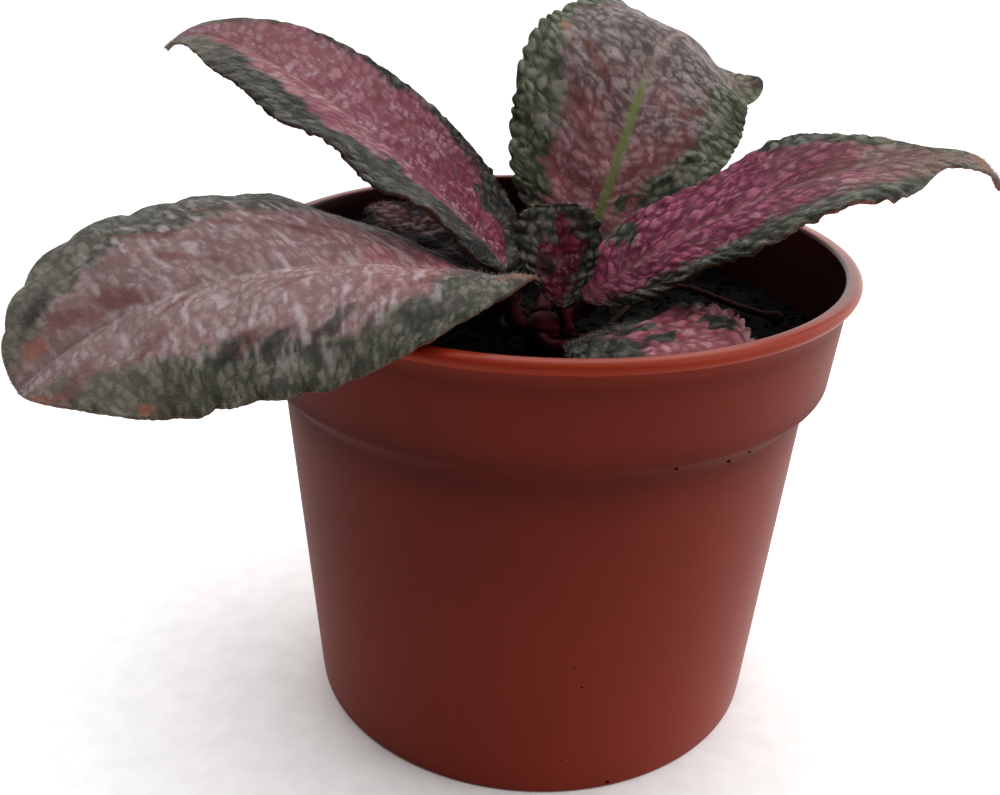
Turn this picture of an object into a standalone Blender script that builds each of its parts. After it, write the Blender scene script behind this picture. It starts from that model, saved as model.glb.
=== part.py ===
"""Flame violet: seven puckered leaves round a short crown, in a small plastic pot of dark soil.

Metres, +Z up. The origin is the middle of the pot's foot, on the surface that the pot
stands on. The photograph looks along +Y. Angles in the leaf table are degrees, and a
heading is measured from +X towards +Y. "Left" is the left hand of someone who walks out
along the leaf from its stalk.
"""

import math
from dataclasses import dataclass

import bmesh
import bpy
import numpy as np
from mathutils import Vector

GAP = 0.0003  # between pieces that touch
WELD = 0.000001

# Pot, turned round Z
POT_HEIGHT = 0.072
RIM_RADIUS = 0.045
FOOT_RADIUS = 0.0359
BODY_TOP_RADIUS = 0.0396
COLLAR_RADIUS = 0.0424  # at the foot of the collar
COLLAR_TOP_RADIUS = 0.0437
BODY_TOP = 0.053  # heights
COLLAR_FOOT = 0.057
BEAD_HEIGHT = 0.0018
WALL = 0.0011
FLOOR = 0.0012
FOOT_EDGE = 0.0005  # radii of the two rounded edges
LIP_EDGE = 0.0006
RECESS = 0.002  # how far the holed ring of the floor is raised
RECESS_INNER = 0.014
RECESS_OUTER = 0.030
HOLE_RADIUS = 0.0028
HOLE_COUNT = 8
HOLE_SIDES = 12
DRILL_LENGTH = 0.01
POT_SIDES = 48
STEP_POINTS = 3  # points of the profile in the rounded step below the collar

# Soil
SOIL_TOP = 0.0602
SOIL_LUMP = 0.0006
SOIL_RINGS = 7
SOIL_EDGE_DROP = 0.0004
SOIL_WAVES = (310, 270, 620, 510)  # radians in a metre, of the lumps along X and Y

# Crown, the short stem that every leaf grows from
CROWN_X = 0
CROWN_Y = -0.011
CROWN_FOOT = 0.048
CROWN_TOP = 0.0652
CROWN_PEAK = 0.0005  # how far the rounded top stands above that
CROWN_FOOT_RADIUS = 0.0024
CROWN_NECK_RADIUS = 0.0027
CROWN_RADIUS = 0.0031
CROWN_WIDEST = 0.0635
CROWN_SIDES = 12
CROWN_STEPS = 9
SOCKET_SIDES = 16

# Leaves
BLADE_THICKNESS = 0.0008
PUCKER = 0.0008  # height of the swellings between the veins
VEIN_DIP = 0.4  # depth of the side veins, as a share of that
PUCKER_HALF_WIDTH = 0.012  # a blade narrower than this has lower swellings
VEIN_ROWS = 4  # rows of the blade's grid from one side vein to the next
SCALLOP_ROWS = 2
SCALLOP = 0.00045  # depth of the rounded teeth at the margin
FORWARD_SWEEP = 1.35  # above 1, the side veins slant towards the tip
TAIL_LENGTH = 0.26  # share of the blade in which a drawn-out tip narrows
HOOK_POWER = 8  # keeps the hook in the last tenth of the midrib
BLADE_START = 0.03  # the grid stops short of the points at both ends
BLADE_END = 0.985
RIB_SIDES = 6
RIB_START = 0.04  # shares of the blade that the raised midrib runs between
RIB_REACH = 0.86
RIB_END = 0.00045  # its radius where it ends
RIB_BITE = 0.00015  # how much further the rib sits in the blade than half its radius
STALK_STEPS = 6
STALK_HANDLE = 0.4  # reach of the curve's handles, as a share of the stalk
SHARP_FOLD = 60  # degrees

# Runner that lies on the soil, from a heading and a height on the crown
RUNNER_RADIUS = 0.0006
RUNNER_BUD_RADIUS = 0.0013
RUNNER_BUD_AT = 0.95
RUNNER_BUD_LENGTH = 0.035
RUNNER_HEADING = -8
RUNNER_HEIGHT = 0.0624
RUNNER_REST = SOIL_TOP + 2.2 * SOIL_LUMP + RUNNER_RADIUS + GAP
RUNNER_ROUTE = [
    (0.0075, -0.0105, 0.0624),
    (0.014, 0.002, 0.0632),
    (0.021, 0.0085, 0.0635),
    (0.030, 0.003, RUNNER_REST),
    (0.0355, -0.0015, RUNNER_REST),
]
RUNNER_POINTS = 24
RUNNER_SIDES = 8

# Finishes: colour and roughness
POT_PLASTIC = ((0.20, 0.040, 0.022), 0.42)
DARK_SOIL = ((0.012, 0.009, 0.008), 0.9)
RED_STEM = ((0.11, 0.012, 0.02), 0.5)
DRY_RUNNER = ((0.12, 0.03, 0.025), 0.6)
LEAF_ROUGHNESS = 0.55


@dataclass
class Leaf:
    """One leaf, as the shape of its flat blade and the way its midrib bends."""

    colour: tuple
    base: tuple  # where the blade joins its stalk
    length: float
    half_width: float
    rise: tuple  # slope of the midrib at base, middle and tip
    heading: tuple
    stalk_from: tuple  # heading and height of the stalk's foot on the crown's side
    roll: tuple = (0, 0, 0)  # turn about the midrib
    fold: tuple = (8, 8)  # how steeply the left and right halves rise from the midrib
    curl: tuple = (0, 0)  # how far they bend down again by the margin
    round_base: float = 0.5  # exponents of the outline: a lower one is blunter
    round_tip: float = 0.5
    drip: float = 0.0  # share of the width that the tail lacks
    drip_at: float = 0.8
    hook: float = 0.0  # extra rise of the very tip
    ripple: tuple = (0, 0)  # height of the slow wave in each margin
    phase: tuple = (0, 0)  # in turns
    waves: int = 3
    stalk_radius: float = 0.0012
    start: float = BLADE_START  # later for a narrow base, which would be thinner than the blade
    rows: int = 32
    columns: int = 6
    rib_points: int = 14


LEAVES = {
    "leaf_left": Leaf(
        colour=(0.19, 0.115, 0.115), base=(-0.004, -0.0094, 0.0678), length=0.070,
        half_width=0.0293, rise=(22, -2, -38), heading=(207, 206, 217),
        stalk_from=(200, 0.0642), roll=(14, -10, -7), fold=(20, 11), curl=(35, 32),
        round_base=0.63, round_tip=0.61, drip=-0.16, drip_at=0.78,
        ripple=(0.0002, 0.0004), phase=(0.34, -0.11),
    ),
    "leaf_upper_left": Leaf(
        colour=(0.23, 0.07, 0.10), base=(-0.0065, 0.0045, 0.0665), length=0.071,
        half_width=0.0185, rise=(47, 30, 21), heading=(161, 161, 153),
        stalk_from=(150, 0.0642), roll=(14, -3, -26), fold=(7, 10),
        round_base=0.30, round_tip=0.90, drip=0.27, drip_at=0.83, hook=-64,
        ripple=(-0.0009, 0), phase=(0.1, 0), waves=4,
    ),
    "leaf_back": Leaf(
        colour=(0.13, 0.085, 0.08), base=(0.0062, 0.0136, 0.0678), length=0.078,
        half_width=0.0196, rise=(64, 17, -141), heading=(41, 67, 25),
        stalk_from=(95, 0.0640), roll=(30, 3, 11), fold=(14, -40),
        round_base=0.34, round_tip=0.56, drip=0.40, drip_at=0.81, hook=176,
        ripple=(0.0010, -0.0009), phase=(0.17, -0.02),
    ),
    "leaf_right": Leaf(
        colour=(0.19, 0.06, 0.085), base=(0.0052, -0.0097, 0.0671), length=0.0713,
        half_width=0.0159, rise=(31, 20, -32), heading=(25, 3, 57),
        stalk_from=(35, 0.0640), roll=(28, -7, 34), fold=(16, -10),
        round_base=0.64, round_tip=0.28, drip=0.86, drip_at=0.65, hook=-10,
        ripple=(-0.0009, -0.0013), phase=(0.36, 0.18),
    ),
    "leaf_front": Leaf(
        colour=(0.16, 0.075, 0.08), base=(0.0043, -0.0155, 0.0628), length=0.0275,
        half_width=0.0122, rise=(26, 3, -18), heading=(-31, -28, -19),
        stalk_from=(-95, 0.0628), roll=(-7, 5, 0), fold=(2, 2), curl=(0, 29),
        round_base=0.51, round_tip=0.38, drip=0.33, drip_at=0.82,
        stalk_radius=0.0009, rows=16, columns=4, rib_points=8,
    ),
    "leaf_shaded": Leaf(
        colour=(0.10, 0.055, 0.06), base=(-0.005, 0.0058, 0.0636), length=0.033,
        half_width=0.010, rise=(14, 11, 8), heading=(150, 138, 144),
        stalk_from=(172, 0.0622), fold=(5, 5), curl=(15, 15), round_tip=0.55, hook=4,
        stalk_radius=0.0008, rows=16, columns=4, rib_points=8,
    ),
    "leaf_young": Leaf(
        colour=(0.12, 0.035, 0.045), base=(0.0025, -0.0123, 0.0666), length=0.0147,
        half_width=0.0059, rise=(66, 66, 62), heading=(112, 106, 98), stalk_from=(-30, 0.0636),
        fold=(4, 20), round_base=0.78, round_tip=0.36, stalk_radius=0.0008, start=0.1,
        rows=12, columns=4, rib_points=8,
    ),
}


def clear_scene():
    for obj in list(bpy.data.objects):
        bpy.data.objects.remove(obj, do_unlink=True)


def material(name, colour, roughness):
    """A plain finish with no metal in it."""
    made = bpy.data.materials.new(name)
    made.use_nodes = True
    shader = made.node_tree.nodes["Principled BSDF"]
    shader.inputs["Base Color"].default_value = (*colour, 1)
    shader.inputs["Roughness"].default_value = roughness
    shader.inputs["Metallic"].default_value = 0
    return made


def add_object(name, mesh):
    obj = bpy.data.objects.new(name, mesh)
    bpy.context.scene.collection.objects.link(obj)
    return obj


def finish_object(obj, finish, sharp=40):
    """Gives a finished piece its one material and its smooth shading."""
    obj.data.materials.clear()
    obj.data.materials.append(finish)
    obj.data.shade_smooth()
    obj.data.set_sharp_from_angle(angle=math.radians(sharp))


def turn_outward(mesh):
    """Welds the points that meet, and turns the faces to point out of the body that they close."""
    shape = bmesh.new()
    shape.from_mesh(mesh)
    bmesh.ops.remove_doubles(shape, verts=shape.verts, dist=WELD)
    bmesh.ops.recalc_face_normals(shape, faces=shape.faces)
    if shape.calc_volume(signed=True) < 0:
        bmesh.ops.reverse_faces(shape, faces=shape.faces)
    shape.to_mesh(mesh)
    shape.free()
    return mesh


def mesh_of(name, points, faces):
    mesh = bpy.data.meshes.new(name)
    mesh.from_pydata([tuple(point) for point in points], [], faces)
    return turn_outward(mesh)


def combine(obj, other, operation, solver="EXACT"):
    """The Boolean of two objects, applied to the first. The other is removed."""
    modifier = obj.modifiers.new(operation.title(), "BOOLEAN")
    modifier.object = other
    modifier.operation = operation
    modifier.solver = solver
    graph = bpy.context.evaluated_depsgraph_get()
    result = bpy.data.meshes.new_from_object(obj.evaluated_get(graph))
    obj.modifiers.clear()
    obj.data = result
    bpy.data.objects.remove(other, do_unlink=True)


def keep_main_shell(mesh):
    """Fills the small hollows that a union seals: they are shells of their own inside the body."""
    shape = bmesh.new()
    shape.from_mesh(mesh)
    unseen = set(shape.verts)
    shells = []
    while unseen:
        shell = set()
        reached = [unseen.pop()]
        while reached:
            vertex = reached.pop()
            shell.add(vertex)
            beside = {edge.other_vert(vertex) for edge in vertex.link_edges} & unseen
            unseen -= beside
            reached.extend(beside)
        shells.append(shell)
    shells.sort(key=len)
    for shell in shells[:-1]:
        bmesh.ops.delete(shape, geom=list(shell), context="VERTS")
    shape.to_mesh(mesh)
    shape.free()


def turned(name, profile, sides):
    """A body turned round Z from its (radius, height) profile, closed at the axis."""
    points = []
    rings = []
    for radius, height in profile:
        if radius == 0:
            rings.append([len(points)])
            points.append((0, 0, height))
            continue
        rings.append(list(range(len(points), len(points) + sides)))
        for side in range(sides):
            turn = math.tau * side / sides
            points.append((radius * math.cos(turn), radius * math.sin(turn), height))
    faces = []
    for ring, following in zip(rings, rings[1:]):
        for side in range(sides):
            after = (side + 1) % sides
            corners = [ring[side % len(ring)], ring[after % len(ring)]]
            corners += [following[after % len(following)], following[side % len(following)]]
            faces.append(list(dict.fromkeys(corners)))
    return mesh_of(name, points, faces)


def rounded(centre, radius, start, end, steps):
    """Points along an arc of the profile, angles in degrees from +X."""
    turns = [math.radians(start + (end - start) * step / steps) for step in range(steps + 1)]
    return [(centre[0] + radius * math.cos(a), centre[1] + radius * math.sin(a)) for a in turns]


def eased(value):
    value = np.clip(value, 0, 1)
    return value * value * (3 - 2 * value)


def pot_outer_radius(height):
    """Radius of the outside of the wall: a straight body, a rounded step, a straight collar."""
    if height < BODY_TOP:
        return FOOT_RADIUS + (BODY_TOP_RADIUS - FOOT_RADIUS) * height / BODY_TOP
    if height < COLLAR_FOOT:
        share = float(eased((height - BODY_TOP) / (COLLAR_FOOT - BODY_TOP)))
        return BODY_TOP_RADIUS + (COLLAR_RADIUS - BODY_TOP_RADIUS) * share
    share = (height - COLLAR_FOOT) / (POT_HEIGHT - COLLAR_FOOT)
    return COLLAR_RADIUS + (COLLAR_TOP_RADIUS - COLLAR_RADIUS) * share


def step_heights():
    """Heights of the profile's points from the top of the body to the foot of the collar."""
    rise = COLLAR_FOOT - BODY_TOP
    return [BODY_TOP + rise * point / STEP_POINTS for point in range(STEP_POINTS + 1)]


def pot_profile():
    """The pot's section, from the middle of its underside out, up and back to its floor."""
    bead = BEAD_HEIGHT / 2
    slope = RECESS / 2
    profile = [
        (0, 0),
        (RECESS_INNER, 0),
        (RECESS_INNER + slope, RECESS),
        (RECESS_OUTER - slope, RECESS),
        (RECESS_OUTER, 0),
    ]
    profile += rounded((FOOT_RADIUS - FOOT_EDGE, FOOT_EDGE), FOOT_EDGE, -90, 0, 2)
    outside = step_heights() + [POT_HEIGHT - BEAD_HEIGHT]
    profile += [(pot_outer_radius(height), height) for height in outside]
    profile += rounded((RIM_RADIUS - bead, POT_HEIGHT - bead), bead, -60, 90, 4)
    lip = pot_outer_radius(POT_HEIGHT) - WALL
    profile += [(lip + LIP_EDGE, POT_HEIGHT), (lip, POT_HEIGHT - LIP_EDGE)]
    inside = step_heights()[::-1] + [FLOOR]
    profile += [(pot_outer_radius(height) - WALL, height) for height in inside]
    profile += [
        (RECESS_OUTER + FLOOR / 2, FLOOR),
        (RECESS_OUTER - slope, RECESS + FLOOR),
        (RECESS_INNER + slope, RECESS + FLOOR),
        (RECESS_INNER, FLOOR),
        (0, FLOOR),
    ]
    return profile


def cut_drainage_holes(pot):
    """Cuts the holes through the raised ring of the pot's floor."""
    ring = (RECESS_INNER + RECESS_OUTER) / 2
    for index in range(HOLE_COUNT):
        turn = math.tau * (index + 0.5) / HOLE_COUNT
        drill = bmesh.new()
        bmesh.ops.create_cone(
            drill, cap_ends=True, segments=HOLE_SIDES,
            radius1=HOLE_RADIUS, radius2=HOLE_RADIUS, depth=DRILL_LENGTH,
        )
        mesh = bpy.data.meshes.new("drill")
        drill.to_mesh(mesh)
        drill.free()
        cutter = add_object("drill", mesh)
        cutter.location = (ring * math.cos(turn), ring * math.sin(turn), RECESS)
        bpy.context.view_layer.update()
        combine(pot, cutter, "DIFFERENCE")


def make_pot():
    pot = add_object("pot", turned("pot", pot_profile(), POT_SIDES))
    cut_drainage_holes(pot)
    finish_object(pot, material("pot_plastic", *POT_PLASTIC))


def soil_height(x, y):
    """The low lumps of the soil's surface."""
    a, b, c, d = SOIL_WAVES
    wave = math.sin(a * x + 1.3) * math.cos(b * y - 0.4) + 0.6 * math.sin(c * y + d * x)
    return SOIL_TOP + SOIL_LUMP * wave


def make_soil():
    """The soil fills the pot, and holds a plain hole for the crown's foot."""
    bottom = RECESS + FLOOR + GAP
    edge = SOIL_TOP - SOIL_EDGE_DROP
    heights = [bottom] + step_heights() + [edge]
    profile = [(0, bottom)]
    profile += [(pot_outer_radius(height) - WALL - GAP, height) for height in heights]
    outer = profile[-1][0]
    rings = range(SOIL_RINGS - 1, 0, -1)
    profile += [(outer * ring / SOIL_RINGS, SOIL_TOP) for ring in rings]
    profile += [(0, SOIL_TOP)]
    mesh = turned("soil", profile, POT_SIDES)
    for vertex in mesh.vertices:
        if vertex.co.z > SOIL_TOP - SOIL_EDGE_DROP / 2:
            vertex.co.z = soil_height(vertex.co.x, vertex.co.y)
    soil = add_object("soil", mesh)
    foot = CROWN_FOOT - GAP
    neck = CROWN_NECK_RADIUS + 2 * GAP
    above = SOIL_TOP + 4 * SOIL_LUMP
    socket = [(0, foot), (CROWN_FOOT_RADIUS + GAP, foot), (neck, SOIL_TOP), (neck, above), (0, above)]
    cutter = add_object("socket", turned("socket", socket, SOCKET_SIDES))
    cutter.location = (CROWN_X, CROWN_Y, 0)
    bpy.context.view_layer.update()
    combine(soil, cutter, "DIFFERENCE")
    finish_object(soil, material("soil", *DARK_SOIL))


def crown_radius(height):
    """Radius of the crown at a height: a neck in the soil, a swelling where the leaves join."""
    if height < SOIL_TOP:
        share = (height - CROWN_FOOT) / (SOIL_TOP - CROWN_FOOT)
        return CROWN_FOOT_RADIUS + (CROWN_NECK_RADIUS - CROWN_FOOT_RADIUS) * share
    if height < CROWN_WIDEST:
        share = (height - SOIL_TOP) / (CROWN_WIDEST - SOIL_TOP)
        return CROWN_NECK_RADIUS + (CROWN_RADIUS - CROWN_NECK_RADIUS) * share
    share = (height - CROWN_WIDEST) / (CROWN_TOP - CROWN_WIDEST)
    return CROWN_RADIUS * math.sqrt(1 - 0.8 * share**2)


def make_crown():
    rise = (CROWN_TOP - CROWN_FOOT) / CROWN_STEPS
    heights = [CROWN_FOOT + rise * step for step in range(CROWN_STEPS)] + [CROWN_TOP]
    profile = [(0, CROWN_FOOT)] + [(crown_radius(height), height) for height in heights]
    profile += [(0, CROWN_TOP + CROWN_PEAK)]
    crown = add_object("crown_stem", turned("crown_stem", profile, CROWN_SIDES))
    crown.location = (CROWN_X, CROWN_Y, 0)
    finish_object(crown, material("red_stem", *RED_STEM))


def through(keys, share):
    """A smooth curve through the values at the base, the middle and the tip."""
    base, middle, tip = keys
    return (
        base * (1 - share) * (1 - 2 * share)
        + middle * 4 * share * (1 - share)
        + tip * share * (2 * share - 1)
    )


class Midrib:
    """The bent midrib of a leaf, and the directions across and above it."""

    def __init__(self, leaf):
        self.leaf = leaf
        self.share = np.linspace(-0.2, 1.05, 251)
        inside = np.clip(self.share, 0, 1)
        rise = np.radians(through(leaf.rise, inside) + leaf.hook * inside**HOOK_POWER)
        heading = np.radians(through(leaf.heading, inside))
        roll = np.radians(through(leaf.roll, inside))[:, None]
        level = np.cos(rise)
        self.along = np.stack([level * np.cos(heading), level * np.sin(heading), np.sin(rise)], -1)
        across = np.stack([-np.sin(heading), np.cos(heading), 0 * heading], -1)
        above = np.cross(self.along, across)
        self.left = np.cos(roll) * across + np.sin(roll) * above
        self.up = np.cos(roll) * above - np.sin(roll) * across
        steps = (self.along[1:] + self.along[:-1]) / 2 * np.diff(self.share)[:, None]
        path = np.concatenate([np.zeros((1, 3)), np.cumsum(steps, 0)]) * leaf.length
        self.path = path - self.read(path, np.array(0.0)) + np.array(leaf.base)

    def read(self, values, share):
        return np.stack([np.interp(share, self.share, values[:, axis]) for axis in range(3)], -1)

    def place(self, along, aside, lift):
        """The point of the blade that lies this far along and to the left when it is flat."""
        leaf = self.leaf
        share = along / leaf.length
        left = aside >= 0
        reach = np.abs(aside)
        fold = np.radians(np.where(left, *leaf.fold))
        curl = np.radians(np.where(left, *leaf.curl)) / leaf.half_width + 1e-6
        out = (np.sin(fold) - np.sin(fold - curl * reach)) / curl
        up = (np.cos(fold - curl * reach) - np.cos(fold)) / curl
        wave = np.sin(math.tau * (leaf.waves * share + np.where(left, *leaf.phase)))
        up = up + np.where(left, *leaf.ripple) * (reach / leaf.half_width) ** 2 * wave + lift
        centre = self.read(self.path, share)
        sideways = self.read(self.left, share) * (np.sign(aside) * out)[..., None]
        return centre + sideways + self.read(self.up, share) * up[..., None]


def outline(leaf, turn):
    """(distance along, half width) of the flat blade's margin, from 0 at the base to 1 at the tip."""
    rising = np.sin(np.pi * turn / 2)
    falling = np.cos(np.pi * turn / 2)
    peak = leaf.round_base / (leaf.round_base + leaf.round_tip)
    widest = peak**leaf.round_base * (1 - peak) ** leaf.round_tip
    width = rising ** (2 * leaf.round_base) * falling ** (2 * leaf.round_tip) / widest
    along = rising**2
    tail = 1 - leaf.drip * eased((along - leaf.drip_at) / TAIL_LENGTH + 0.5)
    return leaf.length * along, leaf.half_width * width * tail


def blade_grid(leaf, midrib):
    """Points of the puckered blade, in rows that follow the side veins from margin to margin."""
    row = np.arange(leaf.rows + 1)[:, None]
    column = np.arange(-leaf.columns, leaf.columns + 1)[None, :]
    turn = leaf.start + (BLADE_END - leaf.start) * row / leaf.rows
    margin_along, margin_aside = outline(leaf, turn)
    scallop = np.where(row % SCALLOP_ROWS == 0, -SCALLOP, SCALLOP)
    size = margin_aside / leaf.half_width
    margin_aside = margin_aside + scallop * np.minimum(1, size * 2)
    vein_foot = leaf.length * np.sin(np.pi * turn / 2) ** (2 * FORWARD_SWEEP)
    reach = np.abs(column) / leaf.columns
    along = vein_foot + (margin_along - vein_foot) * reach
    swelling = (row % 2) * (column % 2) - VEIN_DIP * (row % VEIN_ROWS == 0)
    between = (column != 0) & (np.abs(column) < leaf.columns)
    lift = PUCKER * swelling * np.minimum(1, size * 1.5) * between
    lift = lift * min(1.0, leaf.half_width / PUCKER_HALF_WIDTH)
    return midrib.place(along, margin_aside * column / leaf.columns, lift)


def sheet_mesh(name, grid, thickness):
    """A closed sheet of even thickness round a grid, with both faces cut into triangles alike."""
    down_rows = np.gradient(grid, axis=0)
    across = np.gradient(grid, axis=1)
    normal = np.cross(down_rows, across)
    normal /= np.linalg.norm(normal, axis=-1, keepdims=True)
    rows, columns, _ = grid.shape
    layers = np.concatenate([grid + normal * thickness / 2, grid - normal * thickness / 2])
    points = layers.reshape(-1, 3)
    under = rows * columns
    faces = []
    for row in range(rows - 1):
        for column in range(columns - 1):
            a = row * columns + column
            b, c, d = a + 1, a + columns + 1, a + columns
            halves = [(a, b, c), (a, c, d)] if column >= columns // 2 else [(a, b, d), (b, c, d)]
            for half in halves:
                faces.append(half)
                faces.append(tuple(corner + under for corner in reversed(half)))
    edge = list(range(columns))
    edge += [row * columns + columns - 1 for row in range(1, rows)]
    edge += [(rows - 1) * columns + column for column in range(columns - 2, -1, -1)]
    edge += [row * columns for row in range(rows - 2, 0, -1)]
    for start, end in zip(edge, edge[1:] + edge[:1]):
        faces.append((start, end, end + under))
        faces.append((start, end + under, start + under))
    return mesh_of(name, points, faces)


def tube_object(name, points, radii, sides):
    """A round tube through points, with a radius at each, as a mesh."""
    curve = bpy.data.curves.new(name, "CURVE")
    curve.dimensions = "3D"
    curve.bevel_depth = 1.0
    curve.bevel_resolution = sides // 2 - 2
    curve.use_fill_caps = True
    spline = curve.splines.new("POLY")
    spline.points.add(len(points) - 1)
    for knot, point, radius in zip(spline.points, points, radii):
        knot.co = (*point, 1)
        knot.radius = radius
    bent = add_object(name, curve)
    bpy.context.view_layer.update()
    graph = bpy.context.evaluated_depsgraph_get()
    mesh = bpy.data.meshes.new_from_object(bent.evaluated_get(graph))
    bpy.data.objects.remove(bent, do_unlink=True)
    return add_object(name, turn_outward(mesh))


def on_crown(heading, height):
    """A point just off the crown's side, and the level direction that leaves it there."""
    turn = math.radians(heading)
    away = np.array([math.cos(turn), math.sin(turn), 0.0])
    return np.array([CROWN_X, CROWN_Y, height]) + away * (crown_radius(height) + GAP), away


def stalk_and_rib(leaf, midrib):
    """Points and radii of the stalk, which goes on under the blade as its raised midrib."""
    shares = np.linspace(RIB_START, RIB_REACH, leaf.rib_points)
    rib_radii = leaf.stalk_radius + (RIB_END - leaf.stalk_radius) * shares / RIB_REACH
    below = (BLADE_THICKNESS / 2 + 0.5 * rib_radii - RIB_BITE)[:, None]
    rib = midrib.read(midrib.path, shares) - midrib.read(midrib.up, shares) * below
    foot, away = on_crown(*leaf.stalk_from)
    joint = rib[0]
    handle = np.linalg.norm(joint - foot) * STALK_HANDLE
    leaving = foot + away * handle
    arriving = joint - midrib.read(midrib.along, np.array(RIB_START)) * handle
    stalk = []
    for step in range(STALK_STEPS):
        t = step / STALK_STEPS
        start = (1 - t) ** 3 * foot + 3 * (1 - t) ** 2 * t * leaving
        stalk.append(start + 3 * (1 - t) * t**2 * arriving + t**3 * joint)
    points = np.concatenate([np.array(stalk), rib])
    radii = np.concatenate([np.full(STALK_STEPS, leaf.stalk_radius), rib_radii])
    return points, radii


def make_leaf(name, leaf):
    """A puckered blade joined to its stalk and raised midrib."""
    midrib = Midrib(leaf)
    blade = add_object(name, sheet_mesh(name, blade_grid(leaf, midrib), BLADE_THICKNESS))
    rib = tube_object("rib", *stalk_and_rib(leaf, midrib), RIB_SIDES)
    combine(blade, rib, "UNION", "MANIFOLD")
    keep_main_shell(blade.data)
    finish_object(blade, material(name, leaf.colour, LEAF_ROUGHNESS), SHARP_FOLD)


def smooth_route(route, count):
    """Points along a smooth curve through the route's own points."""
    knots = [Vector(point) for point in route]
    points = []
    for index in range(count + 1):
        place = index / count * (len(knots) - 1)
        segment = min(int(place), len(knots) - 2)
        t = place - segment
        a, b = knots[segment], knots[segment + 1]
        before = knots[max(segment - 1, 0)]
        after = knots[min(segment + 2, len(knots) - 1)]
        square = 2 * before - 5 * a + 4 * b - after
        cube = 3 * a - before - 3 * b + after
        points.append((2 * a + (b - before) * t + square * t**2 + cube * t**3) / 2)
    return points


def make_runner():
    """The thin reddish runner from the crown, with a withered bud where it ends on the soil."""
    start, _ = on_crown(RUNNER_HEADING, RUNNER_HEIGHT)
    points = smooth_route([start, *RUNNER_ROUTE], RUNNER_POINTS)
    radii = []
    for index in range(RUNNER_POINTS + 1):
        bud = math.exp(-(((index / RUNNER_POINTS - RUNNER_BUD_AT) / RUNNER_BUD_LENGTH) ** 2))
        radii.append(RUNNER_RADIUS + (RUNNER_BUD_RADIUS - RUNNER_RADIUS) * bud)
    runner = tube_object("runner", points, radii, RUNNER_SIDES)
    finish_object(runner, material("dry_runner", *DRY_RUNNER))


def main():
    clear_scene()
    make_pot()
    make_soil()
    make_crown()
    for name, leaf in LEAVES.items():
        make_leaf(name, leaf)
    make_runner()


main()
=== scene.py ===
"""Looks of the flame violet: puckered hairy leaves round a red crown, in a brown-red nursery pot.

Metres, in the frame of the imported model: +Z up, origin at the middle of the pot's foot, and
the photograph looks along +Y. Angles in the tables are degrees. "Left" is the left hand of
someone who walks out along a leaf from its stalk.
"""

import math
from dataclasses import dataclass

import bmesh
import bpy
import numpy as np
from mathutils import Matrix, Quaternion, Vector


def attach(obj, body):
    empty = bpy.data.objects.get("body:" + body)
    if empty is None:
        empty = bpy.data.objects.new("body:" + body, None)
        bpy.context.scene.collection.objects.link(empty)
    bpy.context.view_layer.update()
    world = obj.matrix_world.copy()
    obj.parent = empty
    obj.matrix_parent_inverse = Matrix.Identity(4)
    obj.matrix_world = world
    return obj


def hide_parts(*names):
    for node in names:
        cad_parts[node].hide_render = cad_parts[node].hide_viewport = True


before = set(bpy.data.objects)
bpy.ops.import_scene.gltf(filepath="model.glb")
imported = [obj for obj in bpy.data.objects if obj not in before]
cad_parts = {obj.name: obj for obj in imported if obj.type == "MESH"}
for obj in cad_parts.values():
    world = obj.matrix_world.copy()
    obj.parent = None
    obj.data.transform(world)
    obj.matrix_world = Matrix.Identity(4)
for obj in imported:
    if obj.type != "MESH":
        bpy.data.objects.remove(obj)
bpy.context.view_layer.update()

MM = 0.001
GAP = 0.0003

# Camera
CAMERA_AT = (0, -0.15778, 0.11988)
CAMERA_AIM = (-0.00657, 0, 0.04681)
CAMERA_ROLL = 1.57
LENS_MM = 39.6
SENSOR_MM = 36

# Room: the direction that its light comes from, its strength there and opposite, and the
# closeness to that direction over which it turns from dim to bright
BRIGHT_SIDE = (0.33, 0.88, 0.34)
ROOM_BRIGHT = 1.9
ROOM_DIM = 0.12
ROOM_TURN = (-0.55, 0.65)
LAMP_AT = (0.5, -0.25, 0.45)
LAMP_AIM = (0, 0, 0.04)
LAMP_SIZE = 0.4
LAMP_POWER = 0.7
GROUND_RADIUS = 4

# Colours, in pairs from dark to light where a surface is mottled
GROUND = (0.98, 0.98, 0.98)
# The plastic's pair runs from painted shade to painted light, and is mottled as well.
PLASTIC_SHADE_TO_LIGHT = ((0.064, 0.0062, 0.0024), (0.258, 0.03, 0.011))
# The inside of the pot is painted darker than the outside: painted shade.
INSIDE_PLASTIC_SHADE = (0.03, 0.0022, 0.0014)
PEAT = ((0.0012, 0.001, 0.0008), (0.007, 0.005, 0.004))
GRIT = (0.04, 0.034, 0.03)
RED_STEM = ((0.022, 0.001, 0.002), (0.05, 0.002, 0.004))
DRY_STEM = ((0.016, 0.004, 0.003), (0.05, 0.014, 0.01))
# Stalks painted dark: partly their own dark red, partly painted shade round the crown.
STALK_FLESH_AND_SHADE = ((0.022, 0.002, 0.003), (0.055, 0.006, 0.007))
UNDERSIDE = ((0.13, 0.035, 0.025), (0.19, 0.065, 0.04))
UNDERSIDE_VEIN = (0.24, 0.11, 0.08)
HAIR = (0.3, 0.28, 0.27)
# Painted highlight: pale glints and hair sheen on the crests.
BLOOM_AND_GLINT = (0.38, 0.31, 0.33)
# Pale streaks beside the side veins: partly silvery marking, partly painted sheen.
STREAK_AND_SHEEN = (0.34, 0.28, 0.29)
PALE_GREEN = (0.17, 0.15, 0.115)
# The midrib's green is partly its own colour and partly painted glow of light shining through it.
GREEN_MIDRIB_AND_GLOW = (0.13, 0.18, 0.05)
BROWN_PATCH = (0.11, 0.034, 0.03)
# Painted shade: near-black patches where shade falls on a blade.
PAINTED_SHADE_PATCH = (0.01, 0.009, 0.008)
ORANGE_PATCH = (0.24, 0.078, 0.05)

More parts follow.
